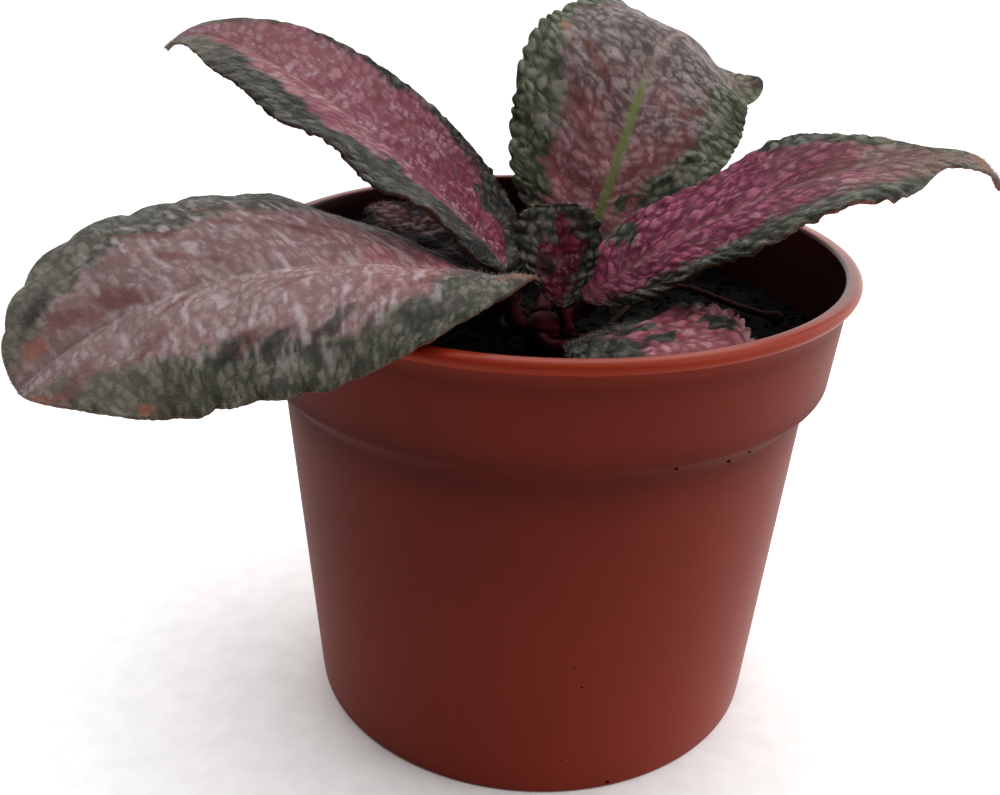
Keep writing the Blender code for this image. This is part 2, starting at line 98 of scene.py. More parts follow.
# Pot, turned round Z
POT_HEIGHT = 0.072
RIM_RADIUS = 0.045
FOOT_RADIUS = 0.0359
BODY_TOP_RADIUS = 0.0396
COLLAR_RADIUS = 0.0424
COLLAR_TOP_RADIUS = 0.0437
BODY_TOP = 0.053
COLLAR_FOOT = 0.057
BEAD_HEIGHT = 0.0018
WALL = 0.0011
FLOOR = 0.0012
FOOT_EDGE = 0.0005
LIP_EDGE = 0.0006
RECESS = 0.002
RECESS_INNER = 0.014
RECESS_OUTER = 0.03
HOLE_RADIUS = 0.0028
HOLE_COUNT = 8
HOLE_SIDES = 32
DRILL_LENGTH = 0.01
POT_SIDES = 192
SHARP_FROM = 50  # degrees between faces from which their edge looks sharp
# Painted light and shade on the plastic at each height: painted shade at the step and under the bead,
# painted light at the foot and a painted highlight on the bead
PAINTED_LIGHT_HEIGHTS = (0, 0.012, 0.03, 0.048, 0.0535, 0.0565, 0.06, 0.066, 0.0695, 0.0705)
PAINTED_LIGHT_LEVELS = (0.72, 0.58, 0.44, 0.32, 0.1, 0.1, 0.32, 0.3, 0.12, 0.78)
# Painted light: the plastic is painted lighter to the right, where more light falls.
PAINTED_LIGHT_TO_RIGHT = 0.15  # how much brighter it is to the right than in the middle
# Specks of soil on the pot: heading, height, radius
SPECKS = [
    (-53.2, 0.0543, 0.0004), (-50.0, 0.0556, 0.00026), (-66.5, 0.0562, 0.0003),
    (-80.7, 0.024, 0.00015), (-78.7, 0.0204, 0.00018), (-81.7, 0.0066, 0.00015),
    (-70.2, 0.001, 0.0003),
]

# Soil
SOIL_TOP = 0.0602
SOIL_LUMP = 0.0006
SOIL_WAVES = (310, 270, 620, 510)
SOIL_COARSE = 0.0034
SOIL_COARSE_HEIGHT = 0.0009
SOIL_FINE = 0.0013
SOIL_FINE_HEIGHT = 0.0004
SOIL_GRAIN = 0.0006
SOIL_GRAIN_HEIGHT = 0.0001
SOIL_DIP = 0.0004  # how much lower it is at the wall
SOIL_RINGS = 90
SOIL_SIDES = 220
CRUMB_COUNT = 900
CRUMB_SIZES = (0.00025, 0.0008)
CRUMB_FREE_EDGE = 0.0012
GRIT_EVERY = 60

# Crown
CROWN_X = 0
CROWN_Y = -0.011
CROWN_FOOT = 0.048
CROWN_TOP = 0.0652
CROWN_PEAK = 0.0005
CROWN_FOOT_RADIUS = 0.0024
CROWN_NECK_RADIUS = 0.0027
CROWN_RADIUS = 0.0031
CROWN_WIDEST = 0.0635
CROWN_SIDES = 48
SCAR_STEP = 0.0011  # height from one ring of leaf scars to the next
SCAR_DEPTH = 0.00012

# Leaves
BLADE_THICKNESS = 0.0008
FORWARD_SWEEP = 1.35
TAIL_LENGTH = 0.26
HOOK_POWER = 8
BLADE_START = 0.03
BLADE_END = 0.985
VEINS = 8  # side veins to each half of a blade
PATCH_LEAN = 0.6  # angle in radians from the midrib to a patch's long side
VEIN_WIDTH = 0.0005
VEIN_DEPTH = 0.0005
MIDRIB_WIDTH = 0.0008
CALM_WIDTH = 0.002  # how far from the midrib the swellings are low
QUILT_DEPTH = 0.0004
RUFFLE_WIDTH = 0.003
LIP = 0.00018  # how far the margin's rounded edge stands out
RIB_START = 0.04
RIB_REACH = 0.86
RIB_END = 0.00045
STALK_HANDLE = 0.4
STALK_SIDES = 14
STALK_RINGS = 26
HAIRS_PER_AREA = 1.6e6
HAIRS_ON_MARGIN = 0.3
HAIR_LENGTHS = (0.00035, 0.0008)
HAIR_RADIUS = 0.000022
HAIR_ROOT = 0.00005

# Runner
RUNNER_RADIUS = 0.0006
RUNNER_SIDES = 12
RUNNER_JOINT_AT = 0.45
BUD_AT = 0.95
BUD_RADIUS = 0.0006
RUNNER_HEADING = -8
RUNNER_HEIGHT = 0.0624
RUNNER_REST = SOIL_TOP + 2.2 * SOIL_LUMP + RUNNER_RADIUS + GAP
RUNNER_ROUTE = [
    (0.0075, -0.0105, 0.0624),
    (0.014, 0.002, 0.0632),
    (0.021, 0.0085, 0.0635),
    (0.03, 0.003, RUNNER_REST),
    (0.0355, -0.0015, RUNNER_REST),
]


@dataclass
class Leaf:
    """One leaf: the shape of its flat blade, the way its midrib bends, and its colouring."""

    base: tuple
    length: float
    half_width: float
    rise: tuple  # rise, heading and roll of the midrib are given at its base, middle and tip
    heading: tuple
    stalk_from: tuple  # heading and height at which the stalk leaves the crown
    roll: tuple = (0, 0, 0)
    fold: tuple = (8, 8)  # how steeply each half rises from the midrib, left and right
    curl: tuple = (0, 0)  # how far each half bends down again by its margin
    round_base: float = 0.5
    round_tip: float = 0.5
    drip: float = 0.0  # how much narrower the blade turns beyond drip_at
    drip_at: float = 0.8
    hook: float = 0.0  # how far the end bends up
    ripple: tuple = (0, 0)  # height of the long waves at the margin, left and right
    phase: tuple = (0, 0)
    waves: int = 3
    stalk_radius: float = 0.0012
    start: float = BLADE_START
    rows: int = 250
    columns: int = 60
    seed: int = 1
    # Relief: the size of the swellings along and away from the midrib, their heights at the
    # midrib and at the margin, and how much of them the tip lacks
    cell: tuple = (0.0018, 0.0022)
    pucker: tuple = (0.00035, 0.0006)
    calm_tip: float = 0.4
    tooth: tuple = (0.0024, 0.0024)  # length of the margin's teeth, left and right
    tooth_depth: tuple = (0.00035, 0.00035)
    ruffle: tuple = (0.0003, 0.0003)  # height of the margin's swellings, left and right
    side_veins: float = 0.1  # how clearly the side veins and the midrib show
    midrib: float = 0.2
    # Half widths in millimetres of the coloured middle, at even steps from the base to the tip
    middle_left: tuple = (0, 6, 0)
    middle_right: tuple = (0, 6, 0)
    fade: float = 0.004  # width over which the middle gives way to the green margin
    # Colours of the swellings and of the hollows between them, at the base and at the tip
    # The hollows are darker partly in their own colour and partly as painted shade in the creases.
    crest: tuple = (0.215, 0.035, 0.078)
    hollow: tuple = (0.07, 0.004, 0.018)
    crest_tip: tuple = (0.235, 0.085, 0.105)
    hollow_tip: tuple = (0.15, 0.035, 0.048)
    turns_pale: tuple = (0.1, 0.75)  # shares of the blade between which they change
    green_crest: tuple = (0.06, 0.064, 0.047)
    green_hollow: tuple = (0.009, 0.01, 0.006)
    green_pale: float = 0.0  # how pale the margin's green turns at the tip
    vein: tuple = (0.25, 0.185, 0.16)
    # The bloom is a painted highlight: pale glints and hair sheen on the crests.
    bloom_and_glint: float = 0.3  # how much pale bloom lies on the crests
    # The streaks are partly silvery marking and partly painted sheen.
    streaks: float = 0.1  # how much of it lies in streaks beside the side veins
    # Where the midrib shows green it is partly painted glow of light shining through the leaf.
    midrib_green_and_glow: float = 0.0  # share of the blade along which the midrib shows green
    burnt_from: float = 0.97  # share of the blade from which the tip is brown
    gloss: float = 0.2
    # Patches as (along, aside, half length, half width) in millimetres, left is positive. They
    # lie at the slant of the side veins.
    green_patches: tuple = ()
    brown_patches: tuple = ()
    orange_patches: tuple = ()
    # Dark patches are painted shade, near-black where shade falls on the blade.
    painted_shade_patches: tuple = ()


LEAVES = {
    "leaf_left": Leaf(
        base=(-0.004, -0.0094, 0.0678), length=0.07, half_width=0.0293, rise=(22, -2, -38),
        heading=(207, 206, 217), stalk_from=(200, 0.0642), roll=(14, -10, -7), fold=(20, 11),
        curl=(35, 32), round_base=0.63, round_tip=0.61, drip=-0.16, drip_at=0.78,
        ripple=(0.0002, 0.0004), phase=(0.34, -0.11), rows=280, columns=76, seed=11,
        cell=(0.0011, 0.0036), pucker=(0.00009, 0.00016), calm_tip=0.2,
        tooth=(0.006, 0.009), tooth_depth=(0.00045, 0.0003), side_veins=0.15,
        middle_left=(0, 1, 15.5, 22, 19.5, 17.5, 12, 4), middle_right=(0, 6, 19, 16, 15.5, 14, 9, 3),
        fade=0.0085, green_pale=0.35, streaks=0.9, burnt_from=0.985, turns_pale=(0.15, 0.5),
        green_crest=(0.1, 0.096, 0.07), green_hollow=(0.02, 0.02, 0.013),
        crest=(0.3, 0.13, 0.148), hollow=(0.14, 0.042, 0.05), crest_tip=(0.235, 0.162, 0.162),
        hollow_tip=(0.145, 0.085, 0.083),
        brown_patches=(
            (54, -3.5, 3.5, 1.4), (60, -5, 3, 1.6), (45.5, -7, 3.4, 0.7), (35, -17, 4.0, 0.7),
            (54, 12.5, 3, 1.0), (43.5, 19, 2.4, 1.2), (65, 12, 4, 1.6), (38.5, -13, 3.4, 0.6),
            (30, -10, 4, 0.6), (48, -15, 4, 0.7), (26, 16, 3, 0.8), (35, 8, 4, 0.5), (49, 5, 4, 0.5),
            (24, -9, 4, 0.5), (18, 12, 4, 0.8), (12, 8.5, 3, 0.8), (40, -18, 3, 0.5),
        ),
        orange_patches=((65, -4, 1.4, 1.6), (58, 22, 0.8, 1.2), (69, 7, 0.8, 4), (5, 11.5, 4, 2)),
        painted_shade_patches=(
            (63, -10, 1.4, 2.6), (22, 22, 3, 1.2), (33, 20, 3, 0.9), (40, 20.5, 3, 0.9), (46, 20, 3, 0.8),
        ),
    ),
    "leaf_upper_left": Leaf(
        base=(-0.0065, 0.0045, 0.0665), length=0.071, half_width=0.0185, rise=(47, 30, 21),
        heading=(161, 161, 153), stalk_from=(150, 0.0642), roll=(14, -3, -26), fold=(7, 10),
        round_base=0.3, round_tip=0.9, drip=0.27, drip_at=0.83, hook=-64, ripple=(-0.0009, 0),
        phase=(0.1, 0), waves=4, seed=23, cell=(0.0014, 0.003), pucker=(0.00024, 0.00046),
        calm_tip=0.65, tooth=(0.004, 0.0037), tooth_depth=(0.0005, 0.00008), ruffle=(0.0003, 0.0001),
        middle_left=(0, 3.5, 6.5, 9.5, 6, 4.5, 0.5, 0), middle_right=(1, 13, 16, 15, 13, 10, 5, 0),
        fade=0.0055, green_pale=0.65, bloom_and_glint=0.45, burnt_from=0.985,
        green_patches=((10, -11.5, 2.5, 3.5), (22, 6.5, 1.6, 2.6)),
        painted_shade_patches=((5, 8, 3, 6), (12, 8, 3, 3), (20, 10, 4, 1)),
        brown_patches=((18, -9, 3, 0.6), (26, -8, 3, 0.6), (34, -9, 3, 0.5), (30, 2, 2, 0.5)),
        green_crest=(0.064, 0.064, 0.048), green_hollow=(0.006, 0.006, 0.005),
        crest=(0.185, 0.016, 0.052), crest_tip=(0.28, 0.152, 0.162), hollow_tip=(0.18, 0.06, 0.078),
    ),
    # Its crest, green and midrib colours are lightened to paint the glow of light shining through it from
    # behind; its tip colours are greyer and darker, partly its own colour and partly painted shade that
    # evens out the light on its top.
    "leaf_back": Leaf(
        base=(0.0062, 0.0136, 0.0678), length=0.078, half_width=0.0196, rise=(64, 17, -141),
        heading=(41, 67, 25), stalk_from=(95, 0.064), roll=(30, 3, 11), fold=(14, -40),
        round_base=0.34, round_tip=0.56, drip=0.4, drip_at=0.81, hook=176,
        ripple=(0.001, -0.0009), phase=(0.17, -0.02), seed=37, cell=(0.0018, 0.0024),
        pucker=(0.00014, 0.0006), calm_tip=0.75, tooth=(0.0031, 0.0033),
        tooth_depth=(0.0003, 0.00014), ruffle=(0.00025, 0.00015), side_veins=0.15, midrib=0.5,
        middle_left=(6, 10.5, 11.5, 15.5, 15.5, 12, 6, 0), middle_right=(3, 6, 12, 12, 11, 8, 4, 0),
        streaks=0.6, green_pale=0.3, midrib_green_and_glow=0.42, crest=(0.38, 0.2, 0.215),
        hollow=(0.165, 0.052, 0.06), crest_tip=(0.175, 0.145, 0.138), hollow_tip=(0.07, 0.048, 0.044),
        turns_pale=(0.1, 0.45), green_crest=(0.195, 0.205, 0.15), green_hollow=(0.036, 0.04, 0.026),
        gloss=0.1, burnt_from=1.1,
        brown_patches=(
            (19, -8, 3, 1.2), (23, -11, 2.5, 1.0), (22, 9, 3, 1.0), (27, 6, 3, 0.7), (30, -10, 3, 0.7),
            (14, -3, 3, 0.8), (31, 10, 3, 0.7), (17, 6, 2, 0.8),
        ),
        green_patches=((13, -8, 2.2, 1.6), (8, -3, 1.4, 1.2), (18, -11, 2, 1)),
        orange_patches=((34, 15.5, 1.2, 0.8),), painted_shade_patches=((15, -9.5, 2, 0.6), (20, -12.5, 2, 0.6)),
    ),
    "leaf_right": Leaf(
        base=(0.0052, -0.0097, 0.0671), length=0.0713, half_width=0.0159, rise=(31, 20, -32),
        heading=(25, 3, 57), stalk_from=(35, 0.064), roll=(28, -7, 34), fold=(16, -10),
        round_base=0.64, round_tip=0.28, drip=0.86, drip_at=0.65, hook=-10,
        ripple=(-0.0009, -0.0013), phase=(0.36, 0.18), seed=41, cell=(0.0019, 0.0025),
        pucker=(0.0004, 0.0006), calm_tip=0.6, tooth=(0.0027, 0.003),
        tooth_depth=(0.00007, 0.00024), ruffle=(0.0001, 0.0004),
        middle_left=(6, 9.5, 13, 13.5, 9.5, 2.5, -2, -4), middle_right=(1, 6, 7.5, 8.5, 8, 4, -1, -4),
        bloom_and_glint=0.28, burnt_from=0.99, green_pale=0.35,
        crest=(0.275, 0.05, 0.108), hollow=(0.07, 0.004, 0.019), crest_tip=(0.19, 0.142, 0.112),
        hollow_tip=(0.1, 0.06, 0.045), turns_pale=(0.4, 0.8),
        brown_patches=((38, 1, 4, 1.5),), green_patches=((10, 6.5, 2.2, 1.6),),
        orange_patches=((62.3, 0, 1.8, 2.4),), green_crest=(0.15, 0.145, 0.11),
        green_hollow=(0.014, 0.016, 0.011),
    ),
    "leaf_front": Leaf(
        base=(0.0043, -0.0155, 0.0628), length=0.0275, half_width=0.0122, rise=(26, 3, -18),
        heading=(-31, -28, -19), stalk_from=(-95, 0.0628), roll=(-7, 5, 0), fold=(2, 2),
        curl=(0, 29), round_base=0.51, round_tip=0.38, drip=0.33, drip_at=0.82,
        stalk_radius=0.0009, rows=130, columns=44, seed=53, cell=(0.0021, 0.0024),
        pucker=(0.00034, 0.0005), middle_left=(0, 1, 10, 13, 12, 5), middle_right=(0, 0, 2, 8, 8, 3),
        bloom_and_glint=0.5, green_crest=(0.05, 0.053, 0.04), painted_shade_patches=((11.5, -2, 1.2, 1.2), (6, 1.5, 2, 0.8)),
        green_patches=((9, 2, 3, 1.0), (13, 0.5, 2, 1.2), (19, 8, 2, 1.5)), crest=(0.36, 0.095, 0.135),
        crest_tip=(0.36, 0.13, 0.15),
    ),
    # Its near-black colours are partly its own dark purple and partly painted shade, and its pale streaks
    # are painted highlights.
    "leaf_shaded": Leaf(
        base=(-0.005, 0.0058, 0.0636), length=0.033, half_width=0.01, rise=(14, 11, 8),
        heading=(150, 138, 144), stalk_from=(172, 0.0622), fold=(5, 5), curl=(15, 15),
        round_tip=0.55, hook=4, stalk_radius=0.0008, rows=130, columns=40, seed=67,
        cell=(0.0017, 0.0026), pucker=(0.0003, 0.0004), middle_left=(2, 8, 8, 2),
        middle_right=(0, 1, 5, 2), streaks=0.7, gloss=0.03, crest=(0.032, 0.009, 0.014),
        hollow=(0.005, 0.001, 0.002), crest_tip=(0.17, 0.09, 0.098), hollow_tip=(0.03, 0.01, 0.013),
        turns_pale=(0.45, 0.9), green_crest=(0.024, 0.027, 0.02), green_hollow=(0.004, 0.004, 0.003),
        vein=(0.15, 0.08, 0.09), painted_shade_patches=((7, 0, 7, 4), (17, 2, 4, 1.5)),
    ),
    "leaf_young": Leaf(
        base=(0.0025, -0.0123, 0.0666), length=0.0147, half_width=0.0059, rise=(66, 66, 62),
        heading=(112, 106, 98), stalk_from=(-30, 0.0636), fold=(4, 20), round_base=0.78,
        round_tip=0.36, stalk_radius=0.0008, start=0.1, rows=90, columns=40, seed=71,
        cell=(0.0013, 0.0015), pucker=(0.00025, 0.0005), tooth=(0.002, 0.002), midrib=0.05,
        middle_left=(0.5, 2.6, 3.0, 1.6, 0, 0), middle_right=(0.3, 0.8, 1.8, 2.8, 2.4, 0),
        crest=(0.16, 0.014, 0.036), hollow=(0.035, 0.001, 0.005), crest_tip=(0.21, 0.026, 0.056),
        hollow_tip=(0.05, 0.003, 0.009), green_crest=(0.138, 0.134, 0.106),
        green_hollow=(0.018, 0.018, 0.014), gloss=0.1, burnt_from=1.1,
        painted_shade_patches=((6, 1.8, 1.2, 0.8),),
    ),
}


class Field:
    """What one socket gives, as it varies over a surface. Arithmetic on it adds Math nodes."""

    def __init__(self, nodes, socket):
        self.nodes = nodes
        self.socket = socket

    def __add__(self, other):
        return self.nodes.math("ADD", self, other)

    def __sub__(self, other):
        return self.nodes.math("SUBTRACT", self, other)

    def __rsub__(self, other):
        return self.nodes.math("SUBTRACT", other, self)

    def __mul__(self, other):
        return self.nodes.math("MULTIPLY", self, other)

    __radd__ = __add__
    __rmul__ = __mul__


class Nodes:
    """A tree of shader nodes, as it is built."""

    def __init__(self, tree):
        self.tree = tree

    def feed(self, socket, value):
        """Gives a socket a link or a plain value."""
        if isinstance(value, Field):
            self.tree.links.new(value.socket, socket)
        elif socket.type == "RGBA":
            socket.default_value = (*value, 1)
        else:
            socket.default_value = value

    def node(self, kind, settings=None, inputs=None, output=0):
        """Adds a node: its settings first, then the values or links of its sockets."""
        made = self.tree.nodes.new("ShaderNode" + kind)
        for name, value in (settings or {}).items():
            setattr(made, name, value)
        for name, value in (inputs or {}).items():
            self.feed(made.inputs[name], value)
        return Field(self, made.outputs[output])

    def math(self, operation, *values):
        return self.node("Math", {"operation": operation}, dict(enumerate(values)))

    def step(self, value, low, high, least=0, most=1):
        """The least number below low, the most above high, and smooth between them."""
        settings = {"interpolation_type": "SMOOTHSTEP"}
        inputs = {"Value": value, "From Min": low, "From Max": high, "To Min": least, "To Max": most}
        return self.node("MapRange", settings, inputs)


class Finish(Nodes):
    """A material, as it is built: one Principled shader and the nodes that feed it."""

    def __init__(self, name, **sockets):
        self.material = bpy.data.materials.new(name)
        self.material.use_nodes = True
        super().__init__(self.material.node_tree)
        self.shader = self.tree.nodes["Principled BSDF"]
        self.set(**sockets)

    def set(self, **sockets):
        """Gives the shader's sockets their values or links: Base_Color, Roughness and so on."""
        for name, value in sockets.items():
            self.feed(self.shader.inputs[name.replace("_", " ")], value)
        return self.material

    def mix(self, share, first, second):
        """A colour between two colours."""
        return self.node("Mix", {"data_type": "RGBA"}, {0: share, 6: first, 7: second}, 2)

    def attribute(self, name):
        return self.node("Attribute", {"attribute_name": name}, output="Fac")

    def noise(self, size, detail=2, rough=0.5):
        """Noise whose blotches are about as large as size, in metres."""
        place = self.node("TexCoord", output="Object")
        inputs = {"Vector": place, "Scale": 1 / size, "Detail": detail, "Roughness": rough}
        return self.node("TexNoise", inputs=inputs)

    def bump(self, height, strength, distance):
        inputs = {"Height": height, "Strength": strength, "Distance": distance}
        return self.node("Bump", inputs=inputs)


def leaf_finish(name, leaf):
    """Puckered blade: coloured crests and dark hollows, partly painted shade, a green margin, painted
    glints on the crests, streaks, painted shade patches and veins.
    """
    finish = Finish(name, Specular_IOR_Level=leaf.gloss)
    read = finish.attribute
    fine = finish.noise(0.0006, 3, 0.6)
    broad = finish.noise(0.005)
    tone = read("tone")
    share = read("share")
    height = finish.step(read("swell") + (fine - 0.5) * 0.5, 0.05, 0.85)
    paler = finish.step(share + (broad - 0.5) * 0.4, *leaf.turns_pale)
    # The hollows' colours are darker partly in their own colour and partly as painted shade in the creases.
    hollow = finish.mix(paler, leaf.hollow, leaf.hollow_tip)
    crest = finish.mix(paler, leaf.crest, leaf.crest_tip)
    middle = finish.mix(0.12 + height * (0.45 + 0.43 * tone), hollow, crest)
    margin = finish.mix(0.08 + height * (0.42 + 0.5 * tone), leaf.green_hollow, leaf.green_crest)
    at_tip = finish.step(share + (broad - 0.5) * 0.2, 0.68, 0.92)
    margin = finish.mix(at_tip * leaf.green_pale, margin, PALE_GREEN)
    green = finish.step(read("green") + (fine - 0.5) * 0.6, 0.15, 0.85)
    colour = finish.mix(green, middle, margin)
    colour = finish.mix(read("vein") * (1 - green * 0.6), colour, leaf.vein)
    # Painted highlight: pale glints and hair sheen on the crests.
    glint_speck = finish.step(fine + height * 0.25, 0.6, 0.85) * finish.step(broad, 0.35, 0.65)
    colour = finish.mix(glint_speck * (1 - green * 0.7) * leaf.bloom_and_glint, colour, BLOOM_AND_GLINT)
    # Pale streaks: partly silvery marking, partly painted sheen.
    colour = finish.mix(read("streak") * (0.4 + fine), colour, STREAK_AND_SHEEN)
    rough_edge = 0.75 + 0.5 * fine
    colour = finish.mix(read("brown") * rough_edge * 0.65, colour, BROWN_PATCH)
    # Painted shade: near-black patches where shade falls.
    colour = finish.mix(read("dark") * rough_edge * 0.8, colour, PAINTED_SHADE_PATCH)
    # Green midrib: partly its own colour, partly painted glow of light shining through it.
    colour = finish.mix(read("rib") * 0.9, colour, GREEN_MIDRIB_AND_GLOW)
    colour = finish.mix(read("orange") * rough_edge * 0.6, colour, ORANGE_PATCH)
    below = finish.mix(finish.step(fine, 0.3, 0.7), *UNDERSIDE)
    below = finish.mix(read("vein"), below, UNDERSIDE_VEIN)
    colour = finish.mix(read("under"), colour, below)
    grain = finish.noise(0.00025, 2, 0.6)
    return finish.set(
        Base_Color=colour,
        Roughness=0.72 - height * 0.12 + (fine - 0.5) * 0.2,
        Normal=finish.bump(grain + fine * 0.6, 0.35, 0.0003),
    )


def pot_finish():
    """Thin moulded plastic, faintly mottled, with a soft sheen, and painted shade under the collar and bead
    and painted light at the foot, on the bead and to the right.
    """
    finish = Finish("pot_plastic", Specular_IOR_Level=0.16)
    mottle = finish.noise(0.018, 3, 0.55)
    fine = finish.noise(0.0009)
    # The tone is painted light and shade, between the shaded and the lit plastic colour.
    tone = finish.attribute("tone") + (mottle - 0.5) * 0.2
    # The inside is painted darker: painted shade.
    colour = finish.mix(finish.attribute("inside"), finish.mix(tone, *PLASTIC_SHADE_TO_LIGHT), INSIDE_PLASTIC_SHADE)
    return finish.set(
        Base_Color=colour,
        Roughness=0.58 - tone * 0.35 + mottle * 0.1 + (fine - 0.5) * 0.06,
        Normal=finish.bump(fine, 0.05, 0.0002),
    )


def soil_finish():
    """Dark damp peat."""
    finish = Finish("soil", Specular_IOR_Level=0.1)
    fine = finish.noise(0.0012, 4, 0.65)
    colour = finish.mix(finish.step(fine, 0.35, 0.7), *PEAT)
    return finish.set(
        Base_Color=colour, Roughness=0.95 - fine * 0.25, Normal=finish.bump(fine, 0.6, 0.0006)
    )


def stem_finish(name, dark, light):
    """Fleshy stem with a little mottling along it."""
    finish = Finish(name, Specular_IOR_Level=0.06)
    fine = finish.noise(0.0011, 3, 0.6)
    colour = finish.mix(finish.step(fine, 0.3, 0.7), dark, light)
    return finish.set(
        Base_Color=colour, Roughness=0.5 + fine * 0.15, Normal=finish.bump(fine, 0.3, 0.0003)
    )


def plain_finish(name, colour, roughness):
    """Colour with a slight unevenness, for hairs, grit and the ground."""
    finish = Finish(name, Roughness=roughness)
    darker = tuple(0.85 * part for part in colour)
    return finish.set(Base_Color=finish.mix(finish.noise(0.004), darker, colour))


def add_object(name, data):
    obj = bpy.data.objects.new(name, data)
    bpy.context.scene.collection.objects.link(obj)
    return obj


def piece(name, mesh, finish, replaced=None):
    """Adds a finished piece of the plant or pot, which rides on the one body."""
    mesh.materials.clear()
    mesh.materials.append(finish)
    mesh.shade_smooth()
    obj = add_object(name, mesh)
    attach(obj, "root")
    if replaced:
        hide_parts(replaced)


def mesh_of(name, points, faces):
    mesh = bpy.data.meshes.new(name)
    mesh.from_pydata(np.asarray(points).tolist(), [], faces)
    return mesh


def write(mesh, field, values):
    """Keeps a number for each point of the mesh, for its material to read."""
    attribute = mesh.attributes.new(field, "FLOAT", "POINT")
    attribute.data.foreach_set("value", values.astype(np.float32))


def unit(vectors):
    """The same directions, each one unit long."""
    return vectors / np.maximum(np.linalg.norm(vectors, axis=-1, keepdims=True), 1e-12)


def scatter(a, b, seed):
    """A repeatable number from 0 to 1 for each whole-numbered place."""
    return (np.sin(a * 127.1 + b * 311.7 + seed * 74.7) * 43758.5453) % 1.0


def eased(value):
    value = np.clip(value, 0, 1)
    return value * value * (3 - 2 * value)


def bell(value, width):
    """1 where the value is 0, falling to nothing over about twice the width."""
    return np.exp(-((value / width) ** 2))


def drift(a, b, seed):
    """Smooth noise from -1 to 1 with blotches about one unit wide."""
    a0, b0 = np.floor(a), np.floor(b)
    ta, tb = eased(a - a0), eased(b - b0)
    low = scatter(a0, b0, seed) * (1 - ta) + scatter(a0 + 1, b0, seed) * ta
    high = scatter(a0, b0 + 1, seed) * (1 - ta) + scatter(a0 + 1, b0 + 1, seed) * ta
    return 2 * (low * (1 - tb) + high * tb) - 1


def swellings(a, b, seed, spread=0.8):
    """Rounded domes with creases between them, one to about each unit square: (height, tone)."""
    home_a, home_b = np.floor(a), np.floor(b)
    nearest = np.full(np.broadcast(a, b).shape, 9.0)
    second = nearest.copy()
    tone = np.zeros_like(nearest)
    for step_a in (-1, 0, 1):
        for step_b in (-1, 0, 1):
            at_a, at_b = home_a + step_a, home_b + step_b
            centre_a = at_a + 0.5 + spread * (scatter(at_a, at_b, seed) - 0.5)
            centre_b = at_b + 0.5 + spread * (scatter(at_a, at_b, seed + 5) - 0.5)
            far = np.hypot(centre_a - a, centre_b - b)
            closer = far < nearest
            second = np.where(closer, nearest, np.minimum(second, far))
            tone = np.where(closer, scatter(at_a, at_b, seed + 9), tone)
            nearest = np.where(closer, far, nearest)
    crease = eased((second - nearest) / 0.7)
    dome = np.clip(1 - (nearest / 0.95) ** 2, 0, 1)
    return dome * (0.35 + 0.65 * crease), tone


def through(keys, share):
    """A smooth curve through the values at the base, the middle and the tip."""
    base, middle, tip = keys
    return (
        base * (1 - share) * (1 - 2 * share)
        + middle * 4 * share * (1 - share)
        + tip * share * (2 * share - 1)
    )


class Midrib:
    """The bent midrib of a leaf, and the directions across and above it."""

    def __init__(self, leaf):
        self.leaf = leaf
        self.share = np.linspace(-0.2, 1.05, 251)
        inside = np.clip(self.share, 0, 1)
        rise = np.radians(through(leaf.rise, inside) + leaf.hook * inside**HOOK_POWER)
        heading = np.radians(through(leaf.heading, inside))
        roll = np.radians(through(leaf.roll, inside))[:, None]
        level = np.cos(rise)
        self.along = np.stack([level * np.cos(heading), level * np.sin(heading), np.sin(rise)], -1)
        across = np.stack([-np.sin(heading), np.cos(heading), 0 * heading], -1)
        above = np.cross(self.along, across)
        self.left = np.cos(roll) * across + np.sin(roll) * above
        self.up = np.cos(roll) * above - np.sin(roll) * across
        steps = (self.along[1:] + self.along[:-1]) / 2 * np.diff(self.share)[:, None]
        path = np.concatenate([np.zeros((1, 3)), np.cumsum(steps, 0)]) * leaf.length
        self.path = path - self.read(path, np.array(0.0)) + np.array(leaf.base)

    def read(self, values, share):
        return np.stack([np.interp(share, self.share, values[:, axis]) for axis in range(3)], -1)

    def place(self, along, aside):
        """The point of the blade that lies this far along and to the left when it is flat."""
        leaf = self.leaf
        share = along / leaf.length
        left = aside >= 0
        reach = np.abs(aside)
        fold = np.radians(np.where(left, *leaf.fold))
        curl = np.radians(np.where(left, *leaf.curl)) / leaf.half_width + 1e-6
        out = (np.sin(fold) - np.sin(fold - curl * reach)) / curl
        up = (np.cos(fold - curl * reach) - np.cos(fold)) / curl
        wave = np.sin(math.tau * (leaf.waves * share + np.where(left, *leaf.phase)))
        up = up + np.where(left, *leaf.ripple) * (reach / leaf.half_width) ** 2 * wave
        centre = self.read(self.path, share)
        sideways = self.read(self.left, share) * (np.sign(aside) * out)[..., None]
        return centre + sideways + self.read(self.up, share) * up[..., None]


def outline(leaf, turn):
    """(distance along, half width) of the flat blade's margin, from 0 at the base to 1 at the tip."""
    rising = np.sin(np.pi * turn / 2)
    falling = np.cos(np.pi * turn / 2)
    peak = leaf.round_base / (leaf.round_base + leaf.round_tip)
    widest = peak**leaf.round_base * (1 - peak) ** leaf.round_tip
    width = rising ** (2 * leaf.round_base) * falling ** (2 * leaf.round_tip) / widest
    along = rising**2
    tail = 1 - leaf.drip * eased((along - leaf.drip_at) / TAIL_LENGTH + 0.5)
    return leaf.length * along, leaf.half_width * width * tail


